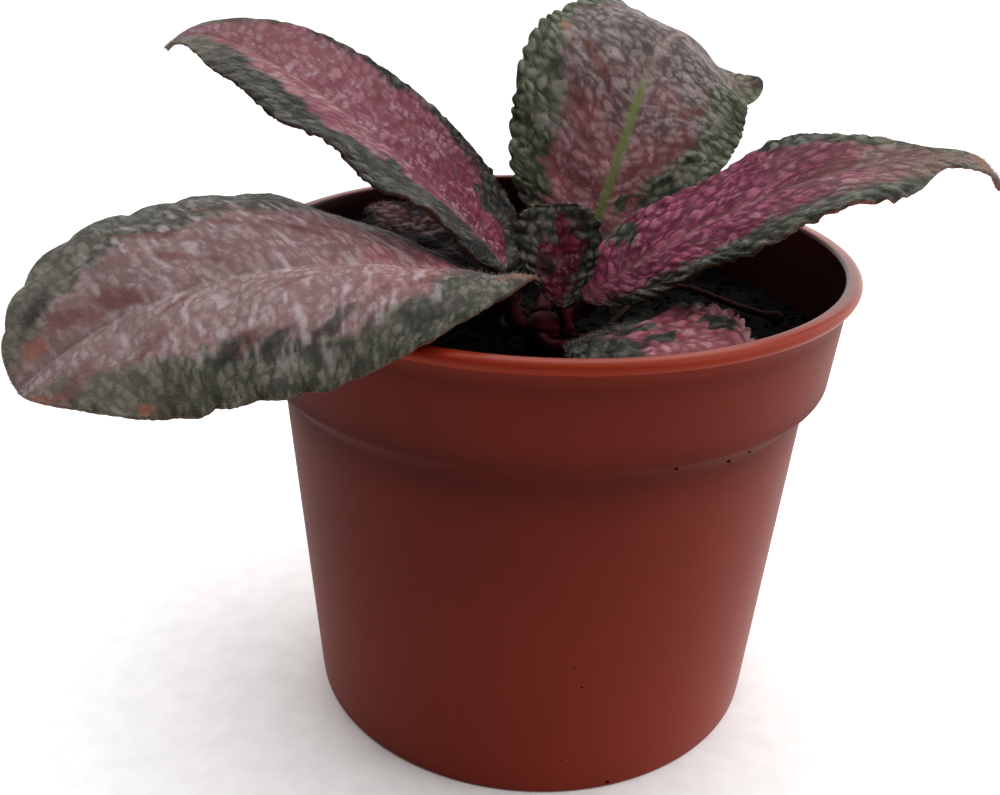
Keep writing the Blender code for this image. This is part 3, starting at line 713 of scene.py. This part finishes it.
class Blade:
    """A leaf's blade as a fine grid, with its relief and what its colours depend on."""

    def __init__(self, leaf):
        self.leaf = leaf
        self.midrib = Midrib(leaf)
        self.lay_out()
        self.raise_relief()
        self.shape()

    def lay_out(self):
        """Flat places of the grid: rows follow the side veins, columns run out to the margins."""
        leaf = self.leaf
        self.row = np.linspace(0, 1, leaf.rows + 1)[:, None]
        reach = np.linspace(-1, 1, 2 * leaf.columns + 1)[None, :]
        self.left = reach >= 0
        turn = leaf.start + (BLADE_END - leaf.start) * self.row
        margin_along, margin_aside = outline(leaf, turn)
        self.size = margin_aside / leaf.half_width
        steps = np.hypot(np.diff(margin_along, axis=0), np.diff(margin_aside, axis=0))
        run = np.concatenate([[[0.0]], np.cumsum(steps, 0)])
        tooth = run / np.where(self.left, *leaf.tooth)
        tooth = tooth + 0.5 * drift(tooth * 0.7, 0.0, leaf.seed)
        self.arch = np.abs(np.sin(np.pi * tooth)) ** 0.8
        uneven = 1 + 0.6 * drift(tooth * 0.8, 0.0, leaf.seed + 60)
        depth = np.where(self.left, *leaf.tooth_depth) * np.minimum(1, 2 * self.size) * uneven
        margin_aside = margin_aside + depth * (2 * self.arch - 1)
        foot = leaf.length * np.sin(np.pi * turn / 2) ** (2 * FORWARD_SWEEP)
        out = np.abs(reach)
        self.along = foot + (margin_along - foot) * out
        self.aside = margin_aside * reach
        self.vein_run = out * np.hypot(margin_along - foot, margin_aside)
        self.station = (foot + margin_along) / 2 + 0 * reach
        self.to_margin = (1 - out) * margin_aside
        self.share = np.clip(self.along / leaf.length, 0, 1)

    def noise(self, along, outward, number):
        """Smooth noise with blotches of these lengths along the leaf and out along its side veins."""
        return drift(self.station / along, self.vein_run / outward, self.leaf.seed + number)

    def raise_relief(self):
        """Domes between a mesh of creases, a low quilt between the side veins, and the veins."""
        leaf = self.leaf
        seed = leaf.seed + np.where(self.left, 0, 31)
        across, outward = leaf.cell
        wander = 0.5 * self.noise(0.004, 0.004, 3) + 0.3 * self.noise(0.0013, 0.0013, 4)
        dome, tone = swellings(self.station / across + wander, self.vein_run / outward - wander, seed)
        small, _ = swellings(self.station / across * 2.1, self.vein_run / outward * 2.1, seed + 17)
        near_margin = eased(1 - self.to_margin / (0.45 * leaf.half_width))
        vein_at = self.row * VEINS
        off_vein = np.abs(vein_at - np.round(vein_at))
        off_vein = off_vein * np.gradient(self.along, axis=0) / np.gradient(vein_at, axis=0)
        side = bell(off_vein, VEIN_WIDTH) * eased(self.size * 2) * (1 - 0.6 * near_margin)
        self.rib = bell(self.aside, MIDRIB_WIDTH * (1 - 0.6 * self.share))
        self.vein = np.maximum(leaf.side_veins * side, leaf.midrib * self.rib)
        calm = 1 - bell(self.aside, CALM_WIDTH)
        inside = eased(self.to_margin / BLADE_THICKNESS)
        fine_size = np.minimum(1, 1.5 * self.size)
        height = leaf.pucker[0] + (leaf.pucker[1] - leaf.pucker[0]) * near_margin
        height = height * (1 - leaf.calm_tip * eased(self.share * 1.4 - 0.2))
        relief = height * (dome * (0.35 + 0.85 * tone) + 0.22 * small - 0.45)
        quilt = QUILT_DEPTH * (np.sin(np.pi * vein_at) ** 2 - 0.4) * min(1, leaf.half_width / 0.012)
        self.lift = (relief * (0.35 + 0.65 * calm) + quilt * inside * calm) * fine_size
        self.lift -= VEIN_DEPTH * self.vein * fine_size
        at_edge = eased(1 - self.to_margin / RUFFLE_WIDTH) * fine_size
        self.lift += np.where(self.left, *leaf.ruffle) * at_edge * (2 * self.arch - 1)
        broken = self.noise(0.0011, 0.0014, 21)
        self.swell = np.clip(dome * (0.6 + 0.5 * tone) + 0.2 * (small - 0.5) + 0.22 * broken, 0, 1)
        patchy = self.noise(0.005, 0.006, 22)
        self.tone = np.clip(0.5 + 0.6 * (tone - 0.5) + 0.4 * patchy, 0, 1)
        streak = drift(self.station / 0.0007 + wander, self.vein_run / 0.0032, leaf.seed + 23)
        middle = np.sin(np.pi * self.share) * (1 - near_margin)
        self.streak = leaf.streaks * eased(1.6 * streak - 0.3) * middle

    def patches(self, places):
        """How much of each point lies in one of the uneven patches."""
        covered = np.zeros_like(self.along)
        uneven = 1 + 0.45 * self.noise(0.001, 0.0022, 50)
        lengthways, sideways = math.cos(PATCH_LEAN), math.sin(PATCH_LEAN)
        for along, aside, half_length, half_width in places:
            ahead = self.along - along * MM
            outward = (self.aside - aside * MM) * (1 if aside > 0 else -1)
            off_length = (ahead * lengthways + outward * sideways) / (half_length * MM)
            off_width = (outward * lengthways - ahead * sideways) / (half_width * MM)
            covered = np.maximum(covered, eased(1.6 - np.hypot(off_length, off_width) * uneven))
        return covered

    def green(self):
        """How green the blade is: 0 in the coloured middle, 1 along the margin."""
        leaf = self.leaf
        middle = np.where(self.left, self.evenly(leaf.middle_left), self.evenly(leaf.middle_right))
        blotch = self.noise(0.0035, 0.0035, 40)
        ragged = self.noise(0.0011, 0.0018, 41)
        middle = middle + 0.0012 * blotch + 0.001 * ragged - 0.002 * (self.tone - 0.5)
        green = eased((np.abs(self.aside) - middle) / leaf.fade + 0.5)
        return np.maximum(green, self.patches(leaf.green_patches))

    def evenly(self, widths):
        """Widths in millimetres at even steps from the base to the tip, as metres at each point."""
        return np.interp(self.share, np.linspace(0, 1, len(widths)), widths) * MM

    def orange(self):
        """Orange-red spots, and the withered tip."""
        withered = eased((self.share - self.leaf.burnt_from) / 0.04)
        return np.maximum(withered, self.patches(self.leaf.orange_patches))

    def rib_radius(self, share):
        radius = self.leaf.stalk_radius + (RIB_END - self.leaf.stalk_radius) * share / RIB_REACH
        return np.maximum(radius, 0.0)

    def shape(self):
        """Upper and lower faces in space."""
        leaf = self.leaf
        middle = self.midrib.place(self.along, self.aside)
        self.normal = unit(np.cross(np.gradient(middle, axis=0), np.gradient(middle, axis=1)))
        self.outward = unit(np.gradient(middle, axis=1))
        thin = BLADE_THICKNESS * (0.3 + 0.12 * eased(self.to_margin / 0.002))
        radius = self.rib_radius(self.share)
        fade = eased((RIB_REACH + 0.08 - self.share) / 0.16)
        keel = np.cos(np.pi / 2 * np.clip(self.aside / (1.5 * radius + 1e-6), -1, 1)) ** 2
        keel = 1.4 * radius * keel * fade
        net = 0.0002 * self.vein * (1 - self.rib) - 0.00012 * (self.swell - 0.5)
        drop = self.lift - thin - keel - np.maximum(net, -0.0001)
        self.top = middle + self.normal * (self.lift + thin)[..., None]
        self.bottom = middle + self.normal * drop[..., None]

    def mesh(self, name):
        """One closed sheet with a rounded edge, and its colour fields on the points."""
        rows, columns, _ = self.top.shape
        edge = [(0, column) for column in range(columns)]
        edge += [(row, columns - 1) for row in range(1, rows)]
        edge += [(rows - 1, column) for column in range(columns - 2, -1, -1)]
        edge += [(row, 0) for row in range(rows - 2, 0, -1)]
        at_row, at_column = np.array(edge).T
        side = np.sign(at_column - (columns - 1) / 2)
        lip = (self.top + self.bottom)[at_row, at_column] / 2
        lip += self.outward[at_row, at_column] * (side * LIP)[:, None]
        points = np.concatenate([self.top.reshape(-1, 3), self.bottom.reshape(-1, 3), lip])
        index = np.arange(rows * columns).reshape(rows, columns)
        a, b, c, d = index[:-1, :-1], index[:-1, 1:], index[1:, 1:], index[1:, :-1]
        upper = np.stack([a, b, c, d], -1).reshape(-1, 4)
        under = upper[:, ::-1] + rows * columns
        rim = index[at_row, at_column]
        after = np.roll(rim, -1)
        lips = 2 * rows * columns + np.arange(len(edge))
        lips_after = np.roll(lips, -1)
        high = np.stack([after, rim, lips, lips_after], -1)
        low = np.stack([lips_after, lips, rim + rows * columns, after + rows * columns], -1)
        mesh = mesh_of(name, points, np.concatenate([upper, under, high, low]).tolist())
        fields = {
            "swell": self.swell, "tone": self.tone, "streak": self.streak, "share": self.share,
            "green": self.green(), "orange": self.orange(),
            "brown": self.patches(self.leaf.brown_patches),
            # The dark field is painted shade.
            "dark": self.patches(self.leaf.painted_shade_patches), "vein": self.vein,
            "rib": self.rib * eased((self.leaf.midrib_green_and_glow - self.share) / 0.1),
        }
        for field, values in fields.items():
            values = np.broadcast_to(values, (rows, columns))
            spread = np.concatenate([values.ravel(), values.ravel(), values[at_row, at_column]])
            write(mesh, field, spread)
        count = rows * columns
        write(mesh, "under", np.concatenate([np.zeros(count), np.ones(count), np.full(len(edge), 0.3)]))
        return mesh


def walls(rings):
    """Faces between neighbouring rings of points. A ring may also be a single point."""
    faces = []
    for ring, following in zip(rings, rings[1:]):
        sides = max(len(ring), len(following))
        for side in range(sides):
            after = (side + 1) % sides
            corners = [ring[side % len(ring)], ring[after % len(ring)]]
            corners += [following[after % len(following)], following[side % len(following)]]
            faces.append(list(dict.fromkeys(corners)))
    return faces


def tube(points, radii, sides):
    """Points and faces of a closed round tube along a route."""
    along = unit(np.gradient(points, axis=0))
    side = unit(np.cross(along, np.array([0.0, 0.0, 1.0])))
    up = np.cross(side, along)
    turns = math.tau * np.arange(sides) / sides
    ring = side[:, None] * np.cos(turns)[None, :, None] + up[:, None] * np.sin(turns)[None, :, None]
    places = points[:, None] + ring * radii[:, None, None]
    rings = np.arange(len(points) * sides).reshape(-1, sides).tolist()
    return places.reshape(-1, 3), walls(rings) + [rings[0][::-1], rings[-1]]


def crown_radius(height):
    """Radius of the crown at a height: a neck in the soil, a swelling where the leaves join."""
    if height < CROWN_WIDEST:
        radii = (CROWN_FOOT_RADIUS, CROWN_NECK_RADIUS, CROWN_RADIUS)
        return np.interp(height, (CROWN_FOOT, SOIL_TOP, CROWN_WIDEST), radii)
    share = (height - CROWN_WIDEST) / (CROWN_TOP - CROWN_WIDEST)
    return CROWN_RADIUS * math.sqrt(1 - 0.8 * share**2)


def on_crown(heading, height):
    """A point just off the crown's side, and the level direction that leaves it there."""
    turn = math.radians(heading)
    away = np.array([math.cos(turn), math.sin(turn), 0.0])
    return np.array([CROWN_X, CROWN_Y, height]) + away * (crown_radius(height) + GAP), away


def make_stalk(name, blade, finish):
    """The leaf's stalk, from the crown into the keel under the blade."""
    leaf = blade.leaf
    midrib = blade.midrib
    foot, away = on_crown(*leaf.stalk_from)
    shares = np.linspace(RIB_START, 0.16, 6)
    bent_back = math.sin(math.radians(max(0, -min(leaf.fold))))
    sunk = BLADE_THICKNESS / 2 + (0.35 + 1.3 * bent_back) * leaf.stalk_radius
    rib = midrib.read(midrib.path, shares) - midrib.read(midrib.up, shares) * sunk
    joint = rib[0]
    handle = np.linalg.norm(joint - foot) * STALK_HANDLE
    leaving = foot + away * handle
    arriving = joint - midrib.read(midrib.along, np.array(RIB_START)) * handle
    t = np.linspace(0, 1, STALK_RINGS, endpoint=False)[:, None]
    stalk = (
        (1 - t) ** 3 * foot
        + 3 * (1 - t) ** 2 * t * leaving
        + 3 * (1 - t) * t**2 * arriving
        + t**3 * joint
    )
    points = np.concatenate([stalk, rib])
    place = np.linspace(0, 1, len(points))
    uneven = 0.12 * np.sin(9 * place + leaf.seed)
    radii = leaf.stalk_radius * (1 + uneven - 0.45 * eased((place - 0.85) / 0.15))
    piece(name, mesh_of(name, *tube(points, radii, STALK_SIDES)), finish)


def make_hairs(name, blade, finish):
    """Short fine hairs on the upper face and along the margin, each a slim closed spike."""
    leaf = blade.leaf
    count = int(HAIRS_PER_AREA * leaf.length * leaf.half_width)
    draw = np.random.default_rng(leaf.seed)
    rows, columns, _ = blade.top.shape
    at_row = draw.integers(2, rows - 2, count)
    on_margin = draw.random(count) < HAIRS_ON_MARGIN
    margin_column = np.where(draw.random(count) < 0.5, 0, columns - 1)
    at_column = np.where(on_margin, margin_column, draw.integers(1, columns - 1, count))
    root = blade.top[at_row, at_column]
    side = np.sign(at_column - (columns - 1) / 2)[:, None]
    lean = blade.outward[at_row, at_column] * np.where(on_margin[:, None], side * 1.2, side * 0.2)
    aim = unit(blade.normal[at_row, at_column] + lean + draw.normal(0, 0.35, (count, 3)))
    tip = root + aim * draw.uniform(*HAIR_LENGTHS, count)[:, None]
    across = unit(np.cross(aim, draw.normal(0, 1, (count, 3))))
    third = np.cross(aim, across)
    corners = []
    for turn in (0, math.tau / 3, 2 * math.tau / 3):
        out = math.cos(turn) * across + math.sin(turn) * third
        corners.append(root + out * HAIR_RADIUS - aim * HAIR_ROOT)
    points = np.stack([*corners, tip], 1).reshape(-1, 3)
    start = 4 * np.arange(count)[:, None]
    sides = ((0, 1, 3), (1, 2, 3), (2, 0, 3), (2, 1, 0))
    faces = np.concatenate([start + np.array(side) for side in sides])
    piece(name, mesh_of(name, points, faces.tolist()), finish)


def make_leaves():
    stalk = stem_finish("stalk_flesh", *STALK_FLESH_AND_SHADE)
    hair = plain_finish("hair", HAIR, 0.6)
    for name, leaf in LEAVES.items():
        blade = Blade(leaf)
        piece(name + "_blade", blade.mesh(name), leaf_finish(name, leaf), name)
        make_stalk(name + "_stalk", blade, stalk)
        make_hairs(name + "_hairs", blade, hair)


def turned(profile, sides):
    """Points and faces of a body turned round Z from its (radius, height) profile."""
    points = []
    rings = []
    turns = math.tau * np.arange(sides) / sides
    for radius, height in profile:
        start = len(points)
        if radius == 0:
            points.append((0, 0, height))
        else:
            points += [(radius * math.cos(turn), radius * math.sin(turn), height) for turn in turns]
        rings.append(list(range(start, len(points))))
    return points, walls(rings)


def rounded(centre, radius, start, end, steps):
    """Points along an arc of the profile, angles in degrees from +X."""
    turns = np.radians(np.linspace(start, end, steps + 1))
    return [(centre[0] + radius * math.cos(a), centre[1] + radius * math.sin(a)) for a in turns]


def pot_outer_radius(height):
    """Radius of the outside of the wall: a straight body, a rounded step, a straight collar."""
    if BODY_TOP < height < COLLAR_FOOT:
        share = eased((height - BODY_TOP) / (COLLAR_FOOT - BODY_TOP))
        return BODY_TOP_RADIUS + (COLLAR_RADIUS - BODY_TOP_RADIUS) * share
    radii = (FOOT_RADIUS, BODY_TOP_RADIUS, COLLAR_RADIUS, COLLAR_TOP_RADIUS)
    return np.interp(height, (0, BODY_TOP, COLLAR_FOOT, POT_HEIGHT), radii)


def pot_profile():
    """The pot's section, from the middle of its underside out, up and back to its floor."""
    bead = BEAD_HEIGHT / 2
    slope = RECESS / 2
    profile = [
        (0, 0),
        (RECESS_INNER, 0),
        (RECESS_INNER + slope, RECESS),
        (RECESS_OUTER - slope, RECESS),
        (RECESS_OUTER, 0),
    ]
    profile += rounded((FOOT_RADIUS - FOOT_EDGE, FOOT_EDGE), FOOT_EDGE, -90, 0, 6)
    wall = list(np.linspace(0.002, BODY_TOP, 18)) + list(np.linspace(BODY_TOP, COLLAR_FOOT, 15))[1:]
    wall += list(np.linspace(COLLAR_FOOT, POT_HEIGHT - BEAD_HEIGHT, 7))[1:]
    profile += [(pot_outer_radius(height), height) for height in wall]
    profile += rounded((RIM_RADIUS - bead, POT_HEIGHT - bead), bead, -60, 90, 10)
    lip = pot_outer_radius(POT_HEIGHT) - WALL
    profile += rounded((lip + LIP_EDGE, POT_HEIGHT - LIP_EDGE), LIP_EDGE, 90, 180, 5)
    profile += [(pot_outer_radius(height) - WALL, height) for height in wall[::-1]]
    profile += [
        (RECESS_OUTER + FLOOR / 2, FLOOR),
        (RECESS_OUTER - slope, RECESS + FLOOR),
        (RECESS_INNER + slope, RECESS + FLOOR),
        (RECESS_INNER, FLOOR),
        (0, FLOOR),
    ]
    return profile


def fix_faces(mesh):
    """Welds the points that meet and turns the faces outward."""
    shape = bmesh.new()
    shape.from_mesh(mesh)
    bmesh.ops.remove_doubles(shape, verts=shape.verts, dist=0.000001)
    bmesh.ops.recalc_face_normals(shape, faces=shape.faces)
    shape.to_mesh(mesh)
    shape.free()
    return mesh


def drilled(mesh):
    """The pot's mesh with its drainage holes cut through the raised ring of the floor."""
    pot = add_object("undrilled", mesh)
    drills = bmesh.new()
    ring = (RECESS_INNER + RECESS_OUTER) / 2
    for index in range(HOLE_COUNT):
        turn = math.tau * (index + 0.5) / HOLE_COUNT
        size = {"radius1": HOLE_RADIUS, "radius2": HOLE_RADIUS, "depth": DRILL_LENGTH}
        drill = bmesh.ops.create_cone(drills, cap_ends=True, segments=HOLE_SIDES, **size)
        place = (ring * math.cos(turn), ring * math.sin(turn), RECESS)
        bmesh.ops.translate(drills, verts=drill["verts"], vec=place)
    cutter_mesh = bpy.data.meshes.new("drills")
    drills.to_mesh(cutter_mesh)
    drills.free()
    cutter = add_object("drills", cutter_mesh)
    cut = pot.modifiers.new("Holes", "BOOLEAN")
    cut.object = cutter
    cut.operation = "DIFFERENCE"
    cut.solver = "EXACT"
    graph = bpy.context.evaluated_depsgraph_get()
    result = bpy.data.meshes.new_from_object(pot.evaluated_get(graph))
    bpy.data.objects.remove(pot)
    bpy.data.objects.remove(cutter)
    return result


def make_pot():
    """The pot's shell, with what its plastic's colour depends on: the inside, painted darker as shade, and
    the painted light and shade by height and to the right.
    """
    mesh = drilled(fix_faces(mesh_of("pot", *turned(pot_profile(), POT_SIDES))))
    places = np.array([vertex.co for vertex in mesh.vertices])
    wall = np.array([pot_outer_radius(height) for height in places[:, 2]])
    depth = wall - np.hypot(places[:, 0], places[:, 1])
    # Painted shade: the inside of the wall and the floor are painted darker.
    write(mesh, "inside", eased(depth / WALL - 0.1) * (places[:, 2] > 2 * RECESS))
    # Painted light and shade: tone by height and lighter to the right.
    painted_light_right = PAINTED_LIGHT_TO_RIGHT * places[:, 0] / RIM_RADIUS
    write(mesh, "tone", np.interp(places[:, 2], PAINTED_LIGHT_HEIGHTS, PAINTED_LIGHT_LEVELS) + painted_light_right)
    piece("pot_shell", mesh, pot_finish(), "pot")
    mesh.set_sharp_from_angle(angle=math.radians(SHARP_FROM))


def lump(centre, radii, facing, draw):
    """Points and faces of one small irregular grain."""
    shape = bmesh.new()
    bmesh.ops.create_icosphere(shape, subdivisions=1, radius=1)
    points = np.array([vertex.co for vertex in shape.verts])
    faces = [[vertex.index for vertex in face.verts] for face in shape.faces]
    shape.free()
    points = points * draw.uniform(0.75, 1.2, (len(points), 1)) * np.array(radii)
    return points @ np.array(facing.to_matrix()).T + np.array(centre), faces


def joined(shapes):
    """One list of points and faces from several."""
    points = []
    faces = []
    for some_points, some_faces in shapes:
        start = len(points)
        points += list(some_points)
        faces += [[start + corner for corner in face] for face in some_faces]
    return points, faces


def make_specks(finish):
    """Specks of soil stuck to the outside of the pot."""
    draw = np.random.default_rng(5)
    shapes = []
    for heading, height, radius in SPECKS:
        turn = math.radians(heading)
        out = Vector((math.cos(turn), math.sin(turn), 0))
        centre = out * (pot_outer_radius(height) + 0.2 * radius) + Vector((0, 0, height))
        shapes.append(lump(centre, (radius, radius * 0.8, radius * 0.5), out.to_track_quat("Z", "Y"), draw))
    piece("pot_specks", mesh_of("pot_specks", *joined(shapes)), finish)


def soil_height(x, y):
    """The low lumps of the soil's surface."""
    a, b, c, d = SOIL_WAVES
    wave = np.sin(a * x + 1.3) * np.cos(b * y - 0.4) + 0.6 * np.sin(c * y + d * x)
    return SOIL_TOP + SOIL_LUMP * wave


def crumbly_height(x, y):
    """The soil's surface with its crumbs."""
    coarse, tone = swellings(x / SOIL_COARSE, y / SOIL_COARSE, 3)
    fine, _ = swellings(x / SOIL_FINE, y / SOIL_FINE, 8)
    rough = drift(x / SOIL_GRAIN, y / SOIL_GRAIN, 4)
    crumbs = SOIL_COARSE_HEIGHT * (coarse * tone - 0.4) + SOIL_FINE_HEIGHT * (fine - 0.5)
    return soil_height(x, y) + crumbs + SOIL_GRAIN_HEIGHT * rough


def make_soil(finish):
    """Peat that fills the pot, with a crumbly surface."""
    bottom = RECESS + FLOOR + GAP
    step = np.linspace(BODY_TOP, COLLAR_FOOT, 7)
    heights = [bottom, *step, SOIL_TOP - SOIL_DIP]
    profile = [(0, bottom)] + [(pot_outer_radius(height) - WALL - GAP, height) for height in heights]
    outer = profile[-1][0]
    profile += [(outer * (SOIL_RINGS - ring) / SOIL_RINGS, SOIL_TOP) for ring in range(1, SOIL_RINGS)]
    profile += [(0, SOIL_TOP)]
    points, faces = turned(profile, SOIL_SIDES)
    points = np.array(points)
    top = points[:, 2] > SOIL_TOP - SOIL_DIP / 2
    points[top, 2] = crumbly_height(points[top, 0], points[top, 1])
    piece("soil_peat", mesh_of("soil", points, faces), finish, "soil")


def make_crumbs(finish, pale):
    """Loose crumbs and a few pale grains on the soil."""
    draw = np.random.default_rng(9)
    dark = []
    light = []
    limit = pot_outer_radius(SOIL_TOP) - WALL - CRUMB_FREE_EDGE
    for number in range(CRUMB_COUNT):
        distance = limit * math.sqrt(draw.random())
        turn = draw.uniform(0, math.tau)
        x, y = distance * math.cos(turn), distance * math.sin(turn)
        size = draw.uniform(*CRUMB_SIZES)
        height = float(crumbly_height(np.array(x), np.array(y))) + 0.2 * size
        facing = Quaternion(draw.normal(0, 1, 4)).normalized()
        radii = size * draw.uniform(0.6, 1.0, 3)
        shape = lump((x, y, height), radii, facing, draw)
        (light if number % GRIT_EVERY == 7 else dark).append(shape)
    piece("soil_crumbs", mesh_of("soil_crumbs", *joined(dark)), finish)
    piece("soil_grit", mesh_of("soil_grit", *joined(light)), pale)


def make_crown(finish):
    """The short red stem, ringed where older leaves have dropped."""
    profile = [(0, CROWN_FOOT)]
    for height in np.linspace(CROWN_FOOT, CROWN_TOP, 60):
        scar = SCAR_DEPTH * math.sin(height / SCAR_STEP * math.tau)
        above_soil = float(eased((height - SOIL_TOP) / 0.001))
        profile.append((crown_radius(height) + scar * above_soil, height))
    profile.append((0, CROWN_TOP + CROWN_PEAK))
    points, faces = turned(profile, CROWN_SIDES)
    points = np.array(points) + np.array([CROWN_X, CROWN_Y, 0])
    piece("crown", mesh_of("crown", points, faces), finish, "crown_stem")


def smooth_route(route, count):
    """Points along a smooth curve through the route's own points."""
    knots = [np.array(point, float) for point in route]
    points = []
    for index in range(count + 1):
        place = index / count * (len(knots) - 1)
        segment = min(int(place), len(knots) - 2)
        t = place - segment
        a, b = knots[segment], knots[segment + 1]
        before = knots[max(segment - 1, 0)]
        after = knots[min(segment + 2, len(knots) - 1)]
        square = 2 * before - 5 * a + 4 * b - after
        cube = 3 * a - before - 3 * b + after
        points.append((2 * a + (b - before) * t + square * t**2 + cube * t**3) / 2)
    return np.array(points)


def make_runner(finish):
    """The thin runner on the soil, with a swollen joint and a withered bud near its end."""
    start, _ = on_crown(RUNNER_HEADING, RUNNER_HEIGHT)
    points = smooth_route([start, *RUNNER_ROUTE], 90)
    place = np.linspace(0, 1, len(points))
    radii = RUNNER_RADIUS * (0.85 + 0.25 * bell(place - RUNNER_JOINT_AT, 0.02))
    radii += BUD_RADIUS * bell(place - BUD_AT, 0.035) * (1 + 0.3 * np.sin(place * 300))
    stem = mesh_of("runner", *tube(points, radii, RUNNER_SIDES))
    piece("runner_stem", stem, finish, "runner")


def look(name, data, place, aim, roll=0):
    """Adds a camera or a lamp that looks from its place toward another."""
    obj = add_object(name, data)
    obj.location = place
    obj.rotation_mode = "QUATERNION"
    facing = (Vector(aim) - Vector(place)).to_track_quat("-Z", "Y")
    obj.rotation_quaternion = facing @ Quaternion((0, 0, 1), math.radians(roll))
    return obj


def make_camera():
    camera = bpy.data.cameras.new("camera")
    camera.sensor_width = SENSOR_MM
    camera.lens = LENS_MM
    camera.clip_start = 0.01
    scene = bpy.context.scene
    scene.camera = look("camera", camera, CAMERA_AT, CAMERA_AIM, CAMERA_ROLL)
    scene.view_settings.view_transform = "Standard"
    scene.view_settings.look = "Medium High Contrast"


def make_ground():
    mesh = bpy.data.meshes.new("floor")
    shape = bmesh.new()
    bmesh.ops.create_circle(shape, cap_ends=True, segments=96, radius=GROUND_RADIUS)
    shape.to_mesh(mesh)
    shape.free()
    mesh.materials.append(plain_finish("floor", GROUND, 0.7))
    add_object("floor", mesh)


def make_room():
    """A white room, bright behind the plant and to its right, and dim on the camera's side."""
    world = bpy.data.worlds.new("room")
    world.use_nodes = True
    nodes = Nodes(world.node_tree)
    direction = nodes.node("TexCoord", output="Generated")
    settings = {"operation": "DOT_PRODUCT"}
    toward = nodes.node("VectorMath", settings, {0: direction, 1: BRIGHT_SIDE}, "Value")
    sockets = world.node_tree.nodes["Background"].inputs
    nodes.feed(sockets["Color"], (1, 1, 1))
    nodes.feed(sockets["Strength"], nodes.step(toward, *ROOM_TURN, ROOM_DIM, ROOM_BRIGHT))
    bpy.context.scene.world = world


def make_lamp():
    """A faint lamp in front and to the right, which lifts the pot's right side."""
    lamp = bpy.data.lights.new("lamp_right", "AREA")
    lamp.size = LAMP_SIZE
    lamp.energy = LAMP_POWER
    look("lamp_right", lamp, LAMP_AT, LAMP_AIM)


def main():
    make_camera()
    soil = soil_finish()
    make_pot()
    make_soil(soil)
    make_crumbs(soil, plain_finish("grit", GRIT, 0.8))
    make_specks(soil)
    make_crown(stem_finish("red_stem", *RED_STEM))
    make_runner(stem_finish("dry_runner", *DRY_STEM))
    make_leaves()
    make_ground()
    make_room()
    make_lamp()


main()
